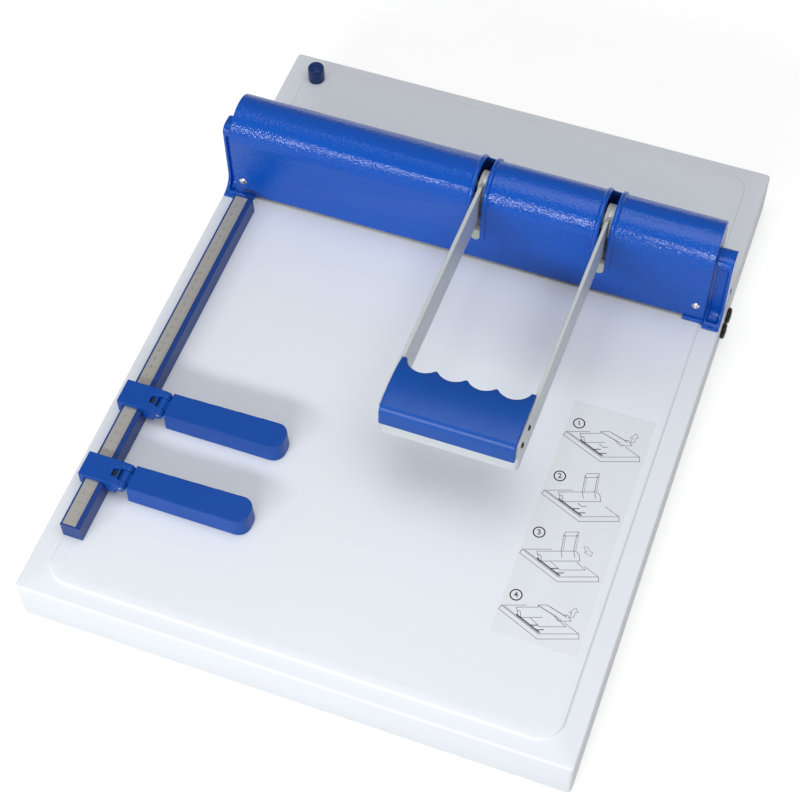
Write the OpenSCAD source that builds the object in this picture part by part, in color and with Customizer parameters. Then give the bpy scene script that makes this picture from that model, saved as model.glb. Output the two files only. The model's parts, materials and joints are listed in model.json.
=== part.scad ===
// Desktop paper creasing machine.
// A lever turns a shaft inside the blue cover. Three cams on the shaft press a
// blade bar down, and the blade folds the sheet into a grooved matrix.
// X runs along the crease, Y runs from the operator to the back, Z is up.
// The origin is the middle of the footprint, on the surface it stands on.

/* [Base] */
// Width of the table
base_w = 530; // [500:1:600]
// Depth of the table, front to back
base_d = 700; // [660:1:760]
// Height of the side walls
base_h = 51; // [46:1:60]
// Thickness of the table's steel sheet
sheet_t = 1.5; // [1:0.1:2]
// Outer radius of the table's upright corners
corner_r = 4; // [3:0.5:8]
// Width of the flange folded in under the walls
flange_w = 26; // [24:1:32]
// Height that the rubber feet hold the walls off the desk
foot_h = 4; // [3:0.5:8]
// Radius of a rubber foot
foot_r = 9; // [7:0.5:10]
// Distance of a foot's centre from the walls
foot_inset = 15; // [13:0.5:16]

/* [Raised panel] */
// Height that the working panel is pressed up above the rim
panel_rise = 1.8; // [1:0.1:3]
// Rim left at each side of the panel
panel_side = 20; // [16:1:24]
// Rim left at the front of the panel
panel_front = 16; // [10:1:24]
// Rim left behind the panel
panel_rear = 11; // [8:1:20]
// Corner radius of the panel
panel_r = 24; // [18:1:34]
// Width of the panel's sloping edge
panel_slope = 3; // [2:0.5:5]

/* [Cover and shaft] */
// Distance of the crease behind the middle of the table
crease_y = 170; // [120:1:190]
// Height of the shaft above the working panel
shaft_up = 79.2; // [76:0.1:95]
// Radius of the shaft
shaft_r = 8; // [7:0.5:9]
// Outer radius of the cover's round top
cover_r = 29.5; // [29:0.5:34]
// Thickness of the cover's steel sheet
cover_t = 1.5; // [1:0.1:2]
// Distance of the cover's ends from the table's side faces
cover_end = 16; // [14:0.5:24]
// Shift of the cover and its mechanism to the left of the middle
cover_shift = 2.5; // [0:0.5:6]
// Height of the paper throat under the cover
throat_h = 4.8; // [4.6:0.1:7]
// Distance of the cover screws from the cover's ends
cover_screw_in = 9.5; // [8:0.5:12]
// Height of the cover screws above the cover's bottom edge
cover_screw_up = 19; // [12:1:30]

/* [Lever slots] */
// Width of a slot in the cover
slot_w = 10; // [8:0.5:12]
// Height of a slot's lower end above the panel
slot_low = 36; // [26:1:44]
// Radius of the rolled lip along a slot
lip_r = 2.8; // [2:0.1:3.2]
// Depth that the lip's middle lies below the cover's surface
lip_sink = 0.4; // [0:0.1:0.8]
// Height of a bumper's top above the middle of the slot's round end
bumper_up = 10; // [4:0.5:12]

/* [Brackets] */
// Thickness of the bracket's block inside the cover
block_t = 20.5; // [18:0.5:26]
// Half depth of the bracket's outer cheek
cheek_half = 12; // [10:0.5:16]
// Distance of the cheek's middle in front of the crease
cheek_fwd = 7.5; // [6:0.5:10]
// Radius of the cheek's shoulders
cheek_r = 9; // [6:0.5:9.5]
// Height of the outer cheek above the table's rim
cheek_h = 88; // [80:1:92]
// Gap between the outer cheek and the table's side face
cheek_in = 1; // [0.5:0.5:3]
// Reach of the toe in front of the cheek
toe = 16; // [13:0.5:17]
// Depth of the moulded recess in the cheek's front
cheek_recess = 3; // [1.5:0.5:4]
// Width of the rim between the recess and the cover
cheek_rim = 2.5; // [1.5:0.5:4]
// Width of the rim at the cheek's outer side
cheek_outer_rim = 3.5; // [2:0.5:5]
// Wall thickness of the shaft bush
bush_t = 3; // [2:0.5:4]

/* [Handle] */
// Distance from the shaft to the front of the handle
handle_reach = 298.5; // [260:0.5:305]
// Upward slope of the resting handle, in degrees
handle_tilt = 3.2; // [2:0.1:8]
// Distance between the outer faces of the two arms
handle_w = 131.8; // [124:0.1:150]
// Distance of the handle's middle to the right of the table's middle
handle_x = 73.4; // [50:0.1:90]
// Thickness of the flat bar
bar_t = 4; // [3:0.5:4.5]
// Height of the flat bar
bar_h = 40; // [34:1:40]
// Outer radius of the bends in the flat bar
bend_r = 4.8; // [4.5:0.1:12]
// Radius of the round hub on the shaft
hub_r = 17; // [15:0.5:20]
// Distance from the shaft to where the bar has its full height
neck = 20; // [18:1:26]
// Width of the collar on each side of an arm
collar_w = 2.8; // [2:0.1:2.8]

/* [Grip] */
// Depth of the grip from its front to the tips behind
grip_d = 63.5; // [56:0.5:66]
// Height of the grip above the middle of the flat bar
grip_up = 26.3; // [25.5:0.1:32]
// Depth that the grip's ends stand inside the bar's outer faces
grip_in = 2; // [0.5:0.5:3]
// How far the grip stands in front of the flat bar
grip_proud = 6; // [4:0.5:10]
// Radius of the grip's front shoulder
grip_round = 9; // [8.5:0.5:12]
// Radius of the grip's domed top
grip_crown = 104; // [100:1:160]
// Distance between finger hollows
finger_pitch = 28.5; // [26:0.5:29]
// Depth of a finger hollow, before its ridges are rounded
finger_depth = 9; // [7:0.5:10]
// Radius of the ridges between the fingers
ridge_r = 2; // [1:0.5:3]
// Step from the outer tips to the ridges between the fingers
finger_step = 5.2; // [4:0.1:7]
// Wall thickness of the grip moulding
grip_wall = 3; // [2.5:0.5:4]

/* [Blade and cams] */
// Lift of the blade when the handle is up
blade_lift = 5.2; // [4.8:0.1:6]
// Angle that the handle swings through, in degrees
handle_swing = 95; // [80:1:98]
// Largest radius of a cam
cam_r = 20; // [17:0.5:21]
// Width of a cam
cam_w = 14; // [10:1:20]
// Gap between a cam and the blade bar
cam_gap = 0.4; // [0.3:0.1:1]
// Thickness of the blade bar
blade_bar_t = 16; // [14:1:18]
// Height of the blade bar
blade_bar_h = 38; // [34:1:42]
// Thickness of the creasing blade
blade_t = 1; // [0.6:0.1:1.4]
// Height of the step in the bar that the blade lies in
blade_step = 20; // [16:1:24]
// Depth that the blade enters the matrix
blade_dip = 0.8; // [0.4:0.1:1.2]

/* [Matrix] */
// Width of the grooved matrix strip
matrix_w = 24; // [20:1:30]
// Thickness of the matrix strip
matrix_t = 6.8; // [5:0.1:9]
// Width of the groove
groove_w = 1.8; // [1.6:0.1:2.6]
// Depth of the groove
groove_d = 1.6; // [1.4:0.1:2]
// Width of the anvil bar below the matrix
anvil_w = 34; // [30:1:38]
// Distance between the two clamp screws
clamp_pitch = 20; // [18:0.5:22]
// Height of the clamp screws above the table's lower edge
clamp_up = 23; // [20:1:28]
// Radius of a clamp knob
knob_r = 8.5; // [7:0.5:8.8]
// Length of a clamp knob
knob_l = 5; // [4:0.5:8]

/* [Guide rail] */
// Width of the rail
rail_w = 20; // [16:1:24]
// Height of the rail
rail_h = 20; // [16:1:24]
// Distance of the rail's middle from the table's left face
rail_in = 30; // [26:1:34]
// Distance of the rail's front end from the table's front
rail_front = 64; // [50:1:90]
// Gap between the rail's rear end and the bracket's toe
rail_gap = 11.5; // [4:0.5:20]
// Width of the scale strip
scale_w = 12.8; // [10:0.1:14]
// Thickness of the scale strip
scale_t = 0.6; // [0.4:0.1:1]

/* [Stops] */
// Position of the front stop behind the table's front edge
front_stop_at = 127.2; // [115:0.1:140]
// Position of the rear stop behind the table's front edge
rear_stop_at = 212.5; // [190:0.5:260]
// Width of a slider along the rail
slider_w = 26; // [22:1:32]
// Thickness of a slider's roof over the rail
slider_roof = 4.9; // [3.5:0.1:6]
// Thickness of a slider's side wall
slider_wall = 5.5; // [4:0.5:7]
// Length of a stop arm from its hinge to its tip
arm_len = 125; // [100:1:150]
// Width of a stop arm at its hinge
arm_w = 28; // [24:0.2:32]
// Width of a stop arm at its tip
arm_tip_w = 30.4; // [26:0.2:34]
// Radius of an arm's tip corners
arm_tip_r = 12; // [8:0.5:13]
// Distance of the arm's front side from the middle of its slider
arm_front = 12.5; // [10:0.5:14]
// Height of an arm's top above its hinge pin
arm_up = 2.5; // [0.5:0.1:2.5]
// Draft of an arm's sides over its height
arm_draft = 1; // [0.5:0.1:2]
// Wall thickness of an arm
arm_wall = 2.5; // [2:0.1:3.5]
// Radius of a hinge ear
ear_r = 5; // [4.5:0.1:5.4]
// Radius of a hinge pin
pin_r = 1.5; // [1.2:0.1:2]

/* [Rear peg] */
// Radius of the peg
peg_r = 8.8; // [7:0.1:10]
// Height of the peg
peg_h = 20; // [14:1:30]
// Distance of the peg from the table's left face
peg_in_x = 33; // [32:1:50]
// Distance of the peg from the table's rear face
peg_in_y = 31; // [28:1:50]

/* [Hidden] */

blue = "#1f5fd0";
dark_blue = "#1a3f8c";
white = "#e8ecf0";
steel = "#b8bcc0";
eps = 0.01;
run = 0.05;        // radial clearance of a turning fit
slide = 0.3;       // clearance of a sliding fit
seat = 0.05;       // gap where a loose piece lies against another
fixed = 0.03;      // radial gap of a bolted, riveted or clamped round fit

rim_z = foot_h + base_h;
table_z = rim_z + panel_rise;
under_z = table_z - sheet_t;
shaft_z = table_z + shaft_up;
cover_z = table_z + throat_h;
cover_front = crease_y - cover_r;
cover_left = -base_w / 2 + cover_end - cover_shift;
cover_right = base_w / 2 - cover_end - cover_shift;
block_left = cover_left + block_t;
block_right = cover_right - block_t;
cheek_x = base_w / 2 - cheek_in;
arm_x = [handle_x - handle_w / 2 + bar_t / 2, handle_x + handle_w / 2 - bar_t / 2];
bar_half = bar_h / 2;
cheek_y = crease_y - cheek_fwd;
rail_x = -base_w / 2 + rail_in;
rail_y0 = -base_d / 2 + rail_front;
rail_y1 = cheek_y - cheek_half - toe - rail_gap;
rail_top = table_z + rail_h;
side_x = [-1, 1];

// Points of an arc about [cx, cy], from angle a0 to a1 in n steps.
function arc(cx, cy, r, a0, a1, n = 16) =
    [for (i = [0:n]) [cx + r * cos(a0 + (a1 - a0) * i / n), cy + r * sin(a0 + (a1 - a0) * i / n)]];

// A rectangle with round corners, centred on the origin.
module round_rect(w, d, r) {
    square([w - 2 * r, d], center = true);
    square([w, d - 2 * r], center = true);
    for (x = side_x, y = side_x)
        translate([x * (w / 2 - r), y * (d / 2 - r)]) circle(r, $fn = 64);
}

// Turns a profile drawn in Y and Z into a slab from x0 to x1.
module along_x(x0, x1) {
    translate([x0, 0, 0]) rotate([90, 0, 90]) linear_extrude(x1 - x0) children();
}

// A round bar along X.
module rod_x(x0, x1, y, z, r, n = 48) {
    translate([x0, y, z]) rotate([0, 90, 0]) cylinder(h = x1 - x0, r = r, $fn = n);
}

// A screw with a domed head on +Z at the origin and its shank below.
module dome_screw(head_r, head_h, shank_r, shank_l) {
    translate([0, 0, -shank_l]) cylinder(h = shank_l + eps, r = shank_r, $fn = 24);
    difference() {
        intersection() {
            translate([0, 0, head_h - dome_r(head_r, head_h)])
                sphere(dome_r(head_r, head_h), $fn = 48);
            cylinder(h = head_h, r = head_r, $fn = 32);
        }
        translate([0, 0, head_h * 0.45]) cylinder(h = head_h, r = head_r * 0.42, $fn = 6);
    }
}
function dome_r(head_r, head_h) = (head_r * head_r + head_h * head_h) / (2 * head_h);

// ---- Base ----

panel_w = base_w - 2 * panel_side;
panel_d = base_d - panel_front - panel_rear;
panel_y = (panel_front - panel_rear) / 2;
guide_t = 8;
matrix_l = block_right - block_left - 2 * guide_t - 2;
matrix_x = (block_left + block_right) / 2;
bolt_r = 3;
bolt_in = 14;
bolt_y = 14;
bolt_x = [block_left - 6, block_right + 6];
foot_x = base_w / 2 - foot_inset;
foot_y = base_d / 2 - foot_inset;
foot_screw_r = 2;
peg_x = -base_w / 2 + peg_in_x;
peg_y = base_d / 2 - peg_in_y;
peg_screw_r = 2;
rail_screw_r = 2;
rail_screw_y = [rail_y0 + 40, (rail_y0 + rail_y1) / 2, rail_y1 - 40];
clamp_y = [crease_y - clamp_pitch / 2, crease_y + clamp_pitch / 2];
clamp_z = foot_h + clamp_up;
clamp_r = 3;

// The raised panel as a solid, shrunk by inset and lowered by drop.
module panel_block(inset, drop) {
    hull() {
        translate([0, panel_y, rim_z - drop - 1])
            linear_extrude(1) round_rect(panel_w - 2 * inset, panel_d - 2 * inset, panel_r - inset);
        translate([0, panel_y, table_z - drop - eps])
            linear_extrude(eps) round_rect(panel_w - 2 * (inset + panel_slope),
                panel_d - 2 * (inset + panel_slope), panel_r - inset - panel_slope);
    }
}

module base_shell() {
    color(white) difference() {
        union() {
            translate([0, 0, foot_h]) linear_extrude(base_h) round_rect(base_w, base_d, corner_r);
            panel_block(0, 0);
        }
        translate([0, 0, foot_h + sheet_t])
            linear_extrude(base_h - 2 * sheet_t)
                round_rect(base_w - 2 * sheet_t, base_d - 2 * sheet_t, corner_r - sheet_t);
        translate([0, 0, foot_h - 1])
            linear_extrude(sheet_t + 2)
                round_rect(base_w - 2 * flange_w, base_d - 2 * flange_w, 3);
        panel_block(sheet_t * 0.4, sheet_t);
        // seat of the matrix strip
        translate([matrix_x, crease_y, rim_z])
            cube([matrix_l + 2 * slide, matrix_w + 2 * slide, 20], center = true);
        for (x = bolt_x, y = side_x)
            translate([x, crease_y + y * bolt_y, rim_z - 5])
                cylinder(h = 12, r = bolt_r + 0.2, $fn = 32);
        for (x = side_x, y = side_x)
            translate([x * foot_x, y * foot_y, foot_h - 1])
                cylinder(h = sheet_t + 2, r = foot_screw_r + 0.2, $fn = 24);
        for (y = rail_screw_y)
            translate([rail_x, y, rim_z - 5]) cylinder(h = 12, r = rail_screw_r + 0.2, $fn = 24);
        translate([peg_x, peg_y, rim_z - 5]) cylinder(h = 12, r = peg_screw_r + 0.2, $fn = 24);
        for (y = clamp_y)
            rod_x(base_w / 2 - 3, base_w / 2 + 1, y, clamp_z, clamp_r + 1, 32);
    }
}

stiff_w = 40;
stiff_h = 20;
stiff_t = 1.5;
stiff_x = 118;

// Hat-shaped channels that keep the front of the table flat.
module stiffener_channels() {
    y0 = -base_d / 2 + panel_front + 24;
    y1 = crease_y - 48;
    color(white) for (x = side_x)
        translate([x * stiff_x, y1, under_z]) rotate([90, 0, 0]) linear_extrude(y1 - y0)
            difference() {
                union() {
                    translate([-stiff_w / 2, -stiff_h]) square([stiff_w, stiff_h]);
                    translate([-stiff_w / 2 - 12, -stiff_t]) square([stiff_w + 24, stiff_t]);
                }
                translate([-stiff_w / 2 + stiff_t, -stiff_h + stiff_t])
                    square([stiff_w - 2 * stiff_t, stiff_h]);
            }
}

module rubber_feet() {
    color("#202020") for (x = side_x, y = side_x)
        translate([x * foot_x, y * foot_y, 0]) difference() {
            rotate_extrude($fn = 48) polygon([[0, 0], [foot_r - 1, 0], [foot_r - 0.3, 0.3],
                [foot_r, 1], [foot_r, foot_h], [0, foot_h]]);
            translate([0, 0, -1]) cylinder(h = foot_h / 2 + 1, r = foot_screw_r * 2.2, $fn = 32);
            cylinder(h = foot_h + 1, r = foot_screw_r, $fn = 24);
        }
}

module foot_screws() {
    color(steel) for (x = side_x, y = side_x)
        translate([x * foot_x, y * foot_y, foot_h / 2]) mirror([0, 0, 1])
            dome_screw(foot_screw_r * 2, foot_h / 2 - 0.6, foot_screw_r, foot_h / 2 + sheet_t + 3);
}

bed_half = anvil_w / 2 + 9;
bed_t = 3;
bed_z0 = foot_h + clamp_up - 11;
bed_len = panel_w - 2 * panel_slope - 2 * sheet_t;

// Upturned channel under the crease: it carries the brackets and the anvil.
module bed_channel() {
    color(steel) difference() {
        along_x(-bed_len / 2, bed_len / 2) difference() {
            translate([crease_y - bed_half, bed_z0])
                square([2 * bed_half, under_z - seat - bed_z0]);
            translate([crease_y - bed_half + bed_t, bed_z0 + bed_t])
                square([2 * bed_half - 2 * bed_t, 60]);
        }
        // drilled from below to reach the bracket bolts
        for (x = bolt_x, y = side_x)
            translate([x, crease_y + y * bolt_y, bed_z0 - 1])
                cylinder(h = bed_t + 2, r = bolt_r + 0.2, $fn = 32);
    }
}

anvil_x0 = 1 - bed_len / 2;
anvil_x1 = base_w / 2 - sheet_t - 12;
anvil_top = table_z - matrix_t;

module anvil_bar() {
    color(steel) difference() {
        translate([anvil_x0, crease_y - anvil_w / 2, bed_z0 + bed_t + seat])
            cube([anvil_x1 - anvil_x0, anvil_w, anvil_top - bed_z0 - bed_t - seat]);
        for (y = clamp_y) rod_x(anvil_x1 - 16, anvil_x1 + 1, y, clamp_z, clamp_r + run, 32);
        for (x = bolt_x, y = side_x)
            translate([x, crease_y + y * bolt_y, bed_z0])
                cylinder(h = 60, r = bolt_r + 0.2, $fn = 32);
    }
}

module creasing_matrix() {
    color("#c8a860") difference() {
        translate([matrix_x - matrix_l / 2, crease_y - matrix_w / 2, anvil_top + seat])
            cube([matrix_l, matrix_w, matrix_t - seat]);
        translate([matrix_x - matrix_l / 2 - 1, crease_y - groove_w / 2, table_z - groove_d])
            cube([matrix_l + 2, groove_w, groove_d + 1]);
    }
}

// ---- Brackets ----

bush_r = shaft_r + bush_t;
block_r = cover_r - cover_t - slide;

// Outline of the outer cheek in Y and Z, with its toes and rounded shoulders.
module cheek_outline() {
    top = rim_z + cheek_h;
    f = toe - 1;
    polygon(concat(
        [[cheek_y - cheek_half - toe, rim_z], [cheek_y - cheek_half - toe, rim_z + 2.2]],
        arc(cheek_y - cheek_half - f, rim_z + 2.2 + f, f, 270, 360, 10),
        arc(cheek_y - cheek_half + cheek_r, top - cheek_r, cheek_r, 180, 90, 10),
        arc(cheek_y + cheek_half - cheek_r, top - cheek_r, cheek_r, 90, 0, 10),
        arc(cheek_y + cheek_half + f, rim_z + 2.2 + f, f, 180, 270, 10),
        [[cheek_y + cheek_half + toe, rim_z + 2.2], [cheek_y + cheek_half + toe, rim_z]]));
}

// Side view of the moulded recess: round at its top and running out over the toe.
module recess_outline() {
    face = cheek_y - cheek_half;
    top = rim_z + cheek_h - cheek_r - 1;
    low = rim_z + 2;
    polygon(concat(
        [[face - toe, low + 5], [face - toe, top], [face - 1, top]],
        arc(face + cheek_recess - 5, top - 5, 5, 70, 0, 6),
        arc(face + cheek_recess - 8, low + 8, 8, 0, -90, 8),
        [[face - 8, low], [face - 8, low + 5]]));
}

// The block inside the cover, with a round top that the cover seats on.
module block_outline() {
    translate([crease_y, shaft_z]) circle(block_r, $fn = 96);
    translate([crease_y - block_r, table_z]) square([2 * block_r, shaft_z - table_z]);
}

module bracket(side) {
    end = side < 0 ? cover_left : cover_right;
    inner = end + side * 0.5;
    outer = side * cheek_x;
    block_in = end - side * block_t;
    bolt = bolt_x[side < 0 ? 0 : 1];
    color(blue) difference() {
        union() {
            along_x(min(inner, outer), max(inner, outer)) cheek_outline();
            along_x(min(block_in, inner), max(block_in, inner)) block_outline();
            // low foot that reaches forward under the cover's edge
            along_x(min(block_in, inner), max(block_in, inner))
                translate([cover_front - 2.5, table_z])
                    square([2 * cover_r + 3, throat_h - slide]);
        }
        // moulded recess down the front of the cheek
        along_x(min(inner + side * cheek_rim, outer - side * cheek_outer_rim),
            max(inner + side * cheek_rim, outer - side * cheek_outer_rim)) recess_outline();
        rod_x(min(block_in, end) - eps, max(block_in, end) + eps, crease_y, shaft_z, bush_r, 64);
        for (y = side_x)
            translate([bolt, crease_y + y * bolt_y, table_z - 3])
                cylinder(h = bolt_in + 5, r = bolt_r + fixed, $fn = 32);
        for (y = side_x)
            translate([end - side * cover_screw_in, crease_y + y * (block_r + 1),
                cover_z + cover_screw_up])
                rotate([y * 90, 0, 0]) cylinder(h = 13, r = 2, $fn = 24);
    }
}

module left_bracket() { bracket(-1); }
module right_bracket() { bracket(1); }

module bracket_bolts() {
    color(steel) for (x = bolt_x, y = side_x)
        translate([x, crease_y + y * bolt_y, bed_z0]) {
            cylinder(h = table_z + bolt_in - bed_z0, r = bolt_r, $fn = 32);
            translate([0, 0, -5]) cylinder(h = 5, r = bolt_r * 1.8, $fn = 6);
        }
}

module shaft_bushes() {
    color("#b08d4c") for (e = [[cover_left, block_left], [block_right, cover_right]])
        difference() {
            rod_x(e[0], e[1], crease_y, shaft_z, bush_r, 64);
            rod_x(e[0] - 1, e[1] + 1, crease_y, shaft_z, shaft_r + run, 64);
        }
}

// Upright channels that hold the ends of the blade bar.
guide_half = blade_bar_t / 2 + 6;
guide_z0 = table_z;
guide_z1 = shaft_z - bush_r - 2;
spring_r = 4;
spring_z0 = table_z + throat_h;

module blade_guides() {
    color(steel) for (s = side_x) {
        face = s < 0 ? block_left : block_right;
        inner = face - s * guide_t;
        difference() {
            along_x(min(face, inner), max(face, inner))
                translate([crease_y - guide_half, guide_z0])
                    square([2 * guide_half, guide_z1 - guide_z0]);
            along_x(min(face - s * 2, inner - s), max(face - s * 2, inner - s))
                translate([crease_y - blade_bar_t / 2 - slide, spring_z0])
                    square([blade_bar_t + 2 * slide, guide_z1]);
        }
    }
}

// ---- Cover ----

bend_z = table_z + slot_low + slot_w / 2;
lip_x = slot_w / 2 + lip_r * 0.9;
// the raised arms lean back past upright by this angle
lean = handle_swing + handle_tilt - 90;

module cover_outline(grow) {
    translate([crease_y, shaft_z]) circle(cover_r + grow, $fn = 128);
    translate([crease_y - cover_r - grow, cover_z])
        square([2 * (cover_r + grow), shaft_z - cover_z]);
}

// Rolled lip round a slot: two straight beads, their arcs over the top and a round foot.
module slot_lip(x) {
    for (s = side_x) {
        translate([x + s * lip_x, cover_front + lip_sink, bend_z])
            cylinder(h = shaft_z - bend_z, r = lip_r, $fn = 24);
        translate([x + s * lip_x, crease_y, shaft_z]) rotate([90, 0, 90])
            rotate_extrude(angle = 180, $fn = 96)
                translate([cover_r - lip_sink, 0]) circle(lip_r, $fn = 24);
    }
    translate([x, cover_front + lip_sink, bend_z]) rotate([90, 0, 0])
        rotate_extrude($fn = 64) translate([lip_x, 0]) circle(lip_r - 0.1, $fn = 24);
}

// The slot ends behind the shaft in a face that the raised arm comes to rest beside.
module slot_cut(x) {
    along_x(x - slot_w / 2, x + slot_w / 2) {
        translate([crease_y - cover_r - 10, bend_z]) square([cover_r + 10, 2 * cover_r + shaft_up]);
        translate([crease_y, shaft_z]) rotate(-lean)
            translate([-bar_half, 0]) square([2 * bar_half + 1, 2 * cover_r]);
    }
    translate([x, crease_y, bend_z]) rotate([90, 0, 0])
        cylinder(h = cover_r + 10, r = slot_w / 2, $fn = 48);
}

module cover() {
    color(blue) difference() {
        union() {
            difference() {
                along_x(cover_left, cover_right) cover_outline(0);
                along_x(cover_left - 1, cover_right + 1) difference() {
                    cover_outline(-cover_t);
                    translate([crease_y - 60, cover_z - 40]) square([120, 40 - eps]);
                }
                along_x(cover_left - 1, cover_right + 1)
                    translate([crease_y - cover_r + cover_t, cover_z - 5])
                        square([2 * (cover_r - cover_t), 12]);
            }
            for (x = arm_x) difference() {
                slot_lip(x);
                along_x(cover_left, cover_right) cover_outline(-cover_t);
            }
        }
        for (x = arm_x) slot_cut(x);
        for (x = [cover_left + cover_screw_in, cover_right - cover_screw_in], y = side_x)
            translate([x, crease_y + y * (cover_r + 1), cover_z + cover_screw_up])
                rotate([y * 90, 0, 0]) cylinder(h = 4, r = 2.2, $fn = 24);
    }
}

module cover_screws() {
    color(steel)
        for (x = [cover_left + cover_screw_in, cover_right - cover_screw_in], y = side_x)
            translate([x, crease_y + y * cover_r, cover_z + cover_screw_up])
                rotate([y * -90, 0, 0]) dome_screw(4, 2.4, 2, 12);
}

// Front view of a bumper, round below and flat on top.
module bumper_face(r) {
    circle(r, $fn = 48);
    translate([-r, 0]) square([2 * r, bumper_up]);
}

// Nylon bumpers clipped into the lower ends of the slots.
module slot_bumpers() {
    r = slot_w / 2 - seat;
    color("#dfe3dc") for (x = arm_x)
        translate([x, cover_front + cover_t + seat, bend_z]) rotate([90, 0, 0]) {
            translate([0, 0, -1]) linear_extrude(1 + cover_t + seat + lip_r * 0.7) bumper_face(r);
            translate([0, 0, -2]) linear_extrude(2) bumper_face(r + 3);
        }
}

// ---- Guide rail ----

rail_t = 2;

module guide_rail() {
    color(dark_blue) difference() {
        translate([rail_x, rail_y0, table_z]) rotate([-90, 0, 0])
            linear_extrude(rail_y1 - rail_y0) mirror([0, 1]) difference() {
                translate([-rail_w / 2, 0]) square([rail_w, rail_h]);
                translate([-rail_w / 2 + rail_t, rail_t])
                    square([rail_w - 2 * rail_t, rail_h - 2 * rail_t - scale_t]);
                translate([scale_off - scale_w / 2, rail_h - scale_t]) square([scale_w, 2]);
            }
        for (y = rail_screw_y)
            translate([rail_x, y, table_z - 1]) cylinder(h = rail_t + 2, r = rail_screw_r, $fn = 24);
    }
}
scale_off = -(rail_w - scale_w) / 2 + 2;

module rail_end_caps() {
    color(dark_blue) for (e = [[rail_y0, 1], [rail_y1, -1]])
        translate([rail_x, e[0], table_z]) {
            translate([-rail_w / 2, e[1] < 0 ? 0 : -1.5, 0]) cube([rail_w, 1.5, rail_h]);
            translate([-rail_w / 2 + rail_t, e[1] < 0 ? -6 : 0, rail_t])
                cube([rail_w - 2 * rail_t, 6, rail_h - 2 * rail_t - scale_t]);
        }
}

module rail_scale() {
    color("#9a9c9a") translate([rail_x + scale_off - scale_w / 2, rail_y0, rail_top - scale_t])
        cube([scale_w, rail_y1 - rail_y0, scale_t]);
}

module rail_screws() {
    color(steel) for (y = rail_screw_y)
        translate([rail_x, y, under_z]) mirror([0, 0, 1])
            dome_screw(4, 2.2, rail_screw_r, sheet_t + rail_t + 4);
}

module rear_peg() {
    color(dark_blue) translate([peg_x, peg_y, table_z]) difference() {
        rotate_extrude($fn = 64) polygon(concat([[0, 0], [peg_r - 0.6, 0], [peg_r, 0.6]],
            arc(peg_r - 3, peg_h - 4.2, 3, 0, 70, 6), [[0, peg_h]]));
        translate([0, 0, -1]) cylinder(h = 11, r = peg_screw_r, $fn = 24);
    }
}

module peg_screw() {
    color(steel) translate([peg_x, peg_y, under_z]) mirror([0, 0, 1])
        dome_screw(4, 2.2, peg_screw_r, sheet_t + 10);
}

// ---- Handle and cams ----

cam_x = [cover_left + 82, handle_x, cover_right - 52];

// Moves a piece drawn lying level along -Y from the shaft to the handle's place.
module at_shaft() {
    translate([0, crease_y, shaft_z]) rotate([-handle_tilt, 0, 0]) children();
}

module cam_shaft() {
    color(steel) difference() {
        rod_x(cover_left + 0.5, cover_right - 0.5, crease_y, shaft_z, shaft_r, 64);
        for (x = cam_x)
            translate([x, crease_y, shaft_z + shaft_r - 1]) cylinder(h = 3, r = 2.5, $fn = 24);
    }
}

// The cam's flank is the involute that lowers a flat follower in step with the angle.
// Angles run from straight down towards the back.
lift_rate = blade_lift / handle_swing * 180 / PI;
cam_base = cam_r - blade_lift;
nose_r = norm([cam_r, lift_rate]);
nose_a = -atan(lift_rate / cam_r);
function flank_point(a) =
    (cam_r - lift_rate * a * PI / 180) * [sin(a), -cos(a)] - lift_rate * [cos(a), sin(a)];

module cam_outline() {
    polygon(concat(
        [for (a = [0:5:handle_swing]) flank_point(a)],
        [flank_point(handle_swing)],
        [for (a = [handle_swing:10:360 + nose_a - acos(cam_base / nose_r)])
            cam_base * [sin(a), -cos(a)]]));
}

module cams() {
    color(steel) for (x = cam_x) difference() {
        along_x(x - cam_w / 2, x + cam_w / 2)
            translate([crease_y, shaft_z]) cam_outline();
        rod_x(x - cam_w, x + cam_w, crease_y, shaft_z, shaft_r + fixed, 64);
        translate([x, crease_y, shaft_z]) cylinder(h = cam_r + 10, r = 2.5, $fn = 24);
    }
}

module cam_set_screws() {
    color("#303030") for (x = cam_x)
        translate([x, crease_y, shaft_z + shaft_r - 1]) difference() {
            cylinder(h = 8, r = 2.5, $fn = 24);
            translate([0, 0, 5]) cylinder(h = 4, r = 1.2, $fn = 6);
        }
}

module arm_collars() {
    color("#dfe3dc") difference() {
        for (x = arm_x, s = side_x)
            rod_x(x + s * (bar_t / 2 + collar_w / 2) - collar_w / 2,
                x + s * (bar_t / 2 + collar_w / 2) + collar_w / 2, crease_y, shaft_z, hub_r, 96);
        rod_x(-base_w, base_w, crease_y, shaft_z, shaft_r + fixed, 64);
    }
}

// Side view of an arm's rear end, which narrows to the round eye on the shaft.
module neck_outline() {
    polygon([[-neck - eps, -bar_half], [-hub_r / 2, -hub_r * 0.86], [-hub_r / 2, hub_r * 0.86],
        [-neck - eps, bar_half]]);
    circle(hub_r, $fn = 96);
}

// Flat bar bent into a U, with a round eye on each end for the shaft.
module handle_frame() {
    color(steel) at_shaft() difference() {
        union() {
            translate([0, 0, -bar_half]) linear_extrude(bar_h) difference() {
                translate([handle_x, -neck]) bent_outline(handle_w, handle_reach - neck, bend_r);
                translate([handle_x, bar_t - neck])
                    bent_outline(handle_w - 2 * bar_t, handle_reach - neck, bend_in);
            }
            for (x = arm_x) along_x(x - bar_t / 2, x + bar_t / 2) neck_outline();
        }
        for (x = arm_x) rod_x(x - bar_t, x + bar_t, 0, 0, shaft_r + fixed, 64);
        for (x = [handle_x - handle_w / 2, handle_x + handle_w / 2], y = grip_screw_y)
            rod_x(x - 6, x + 6, y, grip_screw_z, 1.8 + fixed, 24);
    }
}
bend_in = max(bend_r - bar_t, 0.3);
grip_screw_y = [-handle_reach + 8, -handle_reach + 28];
grip_screw_z = bar_half - 9;

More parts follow.
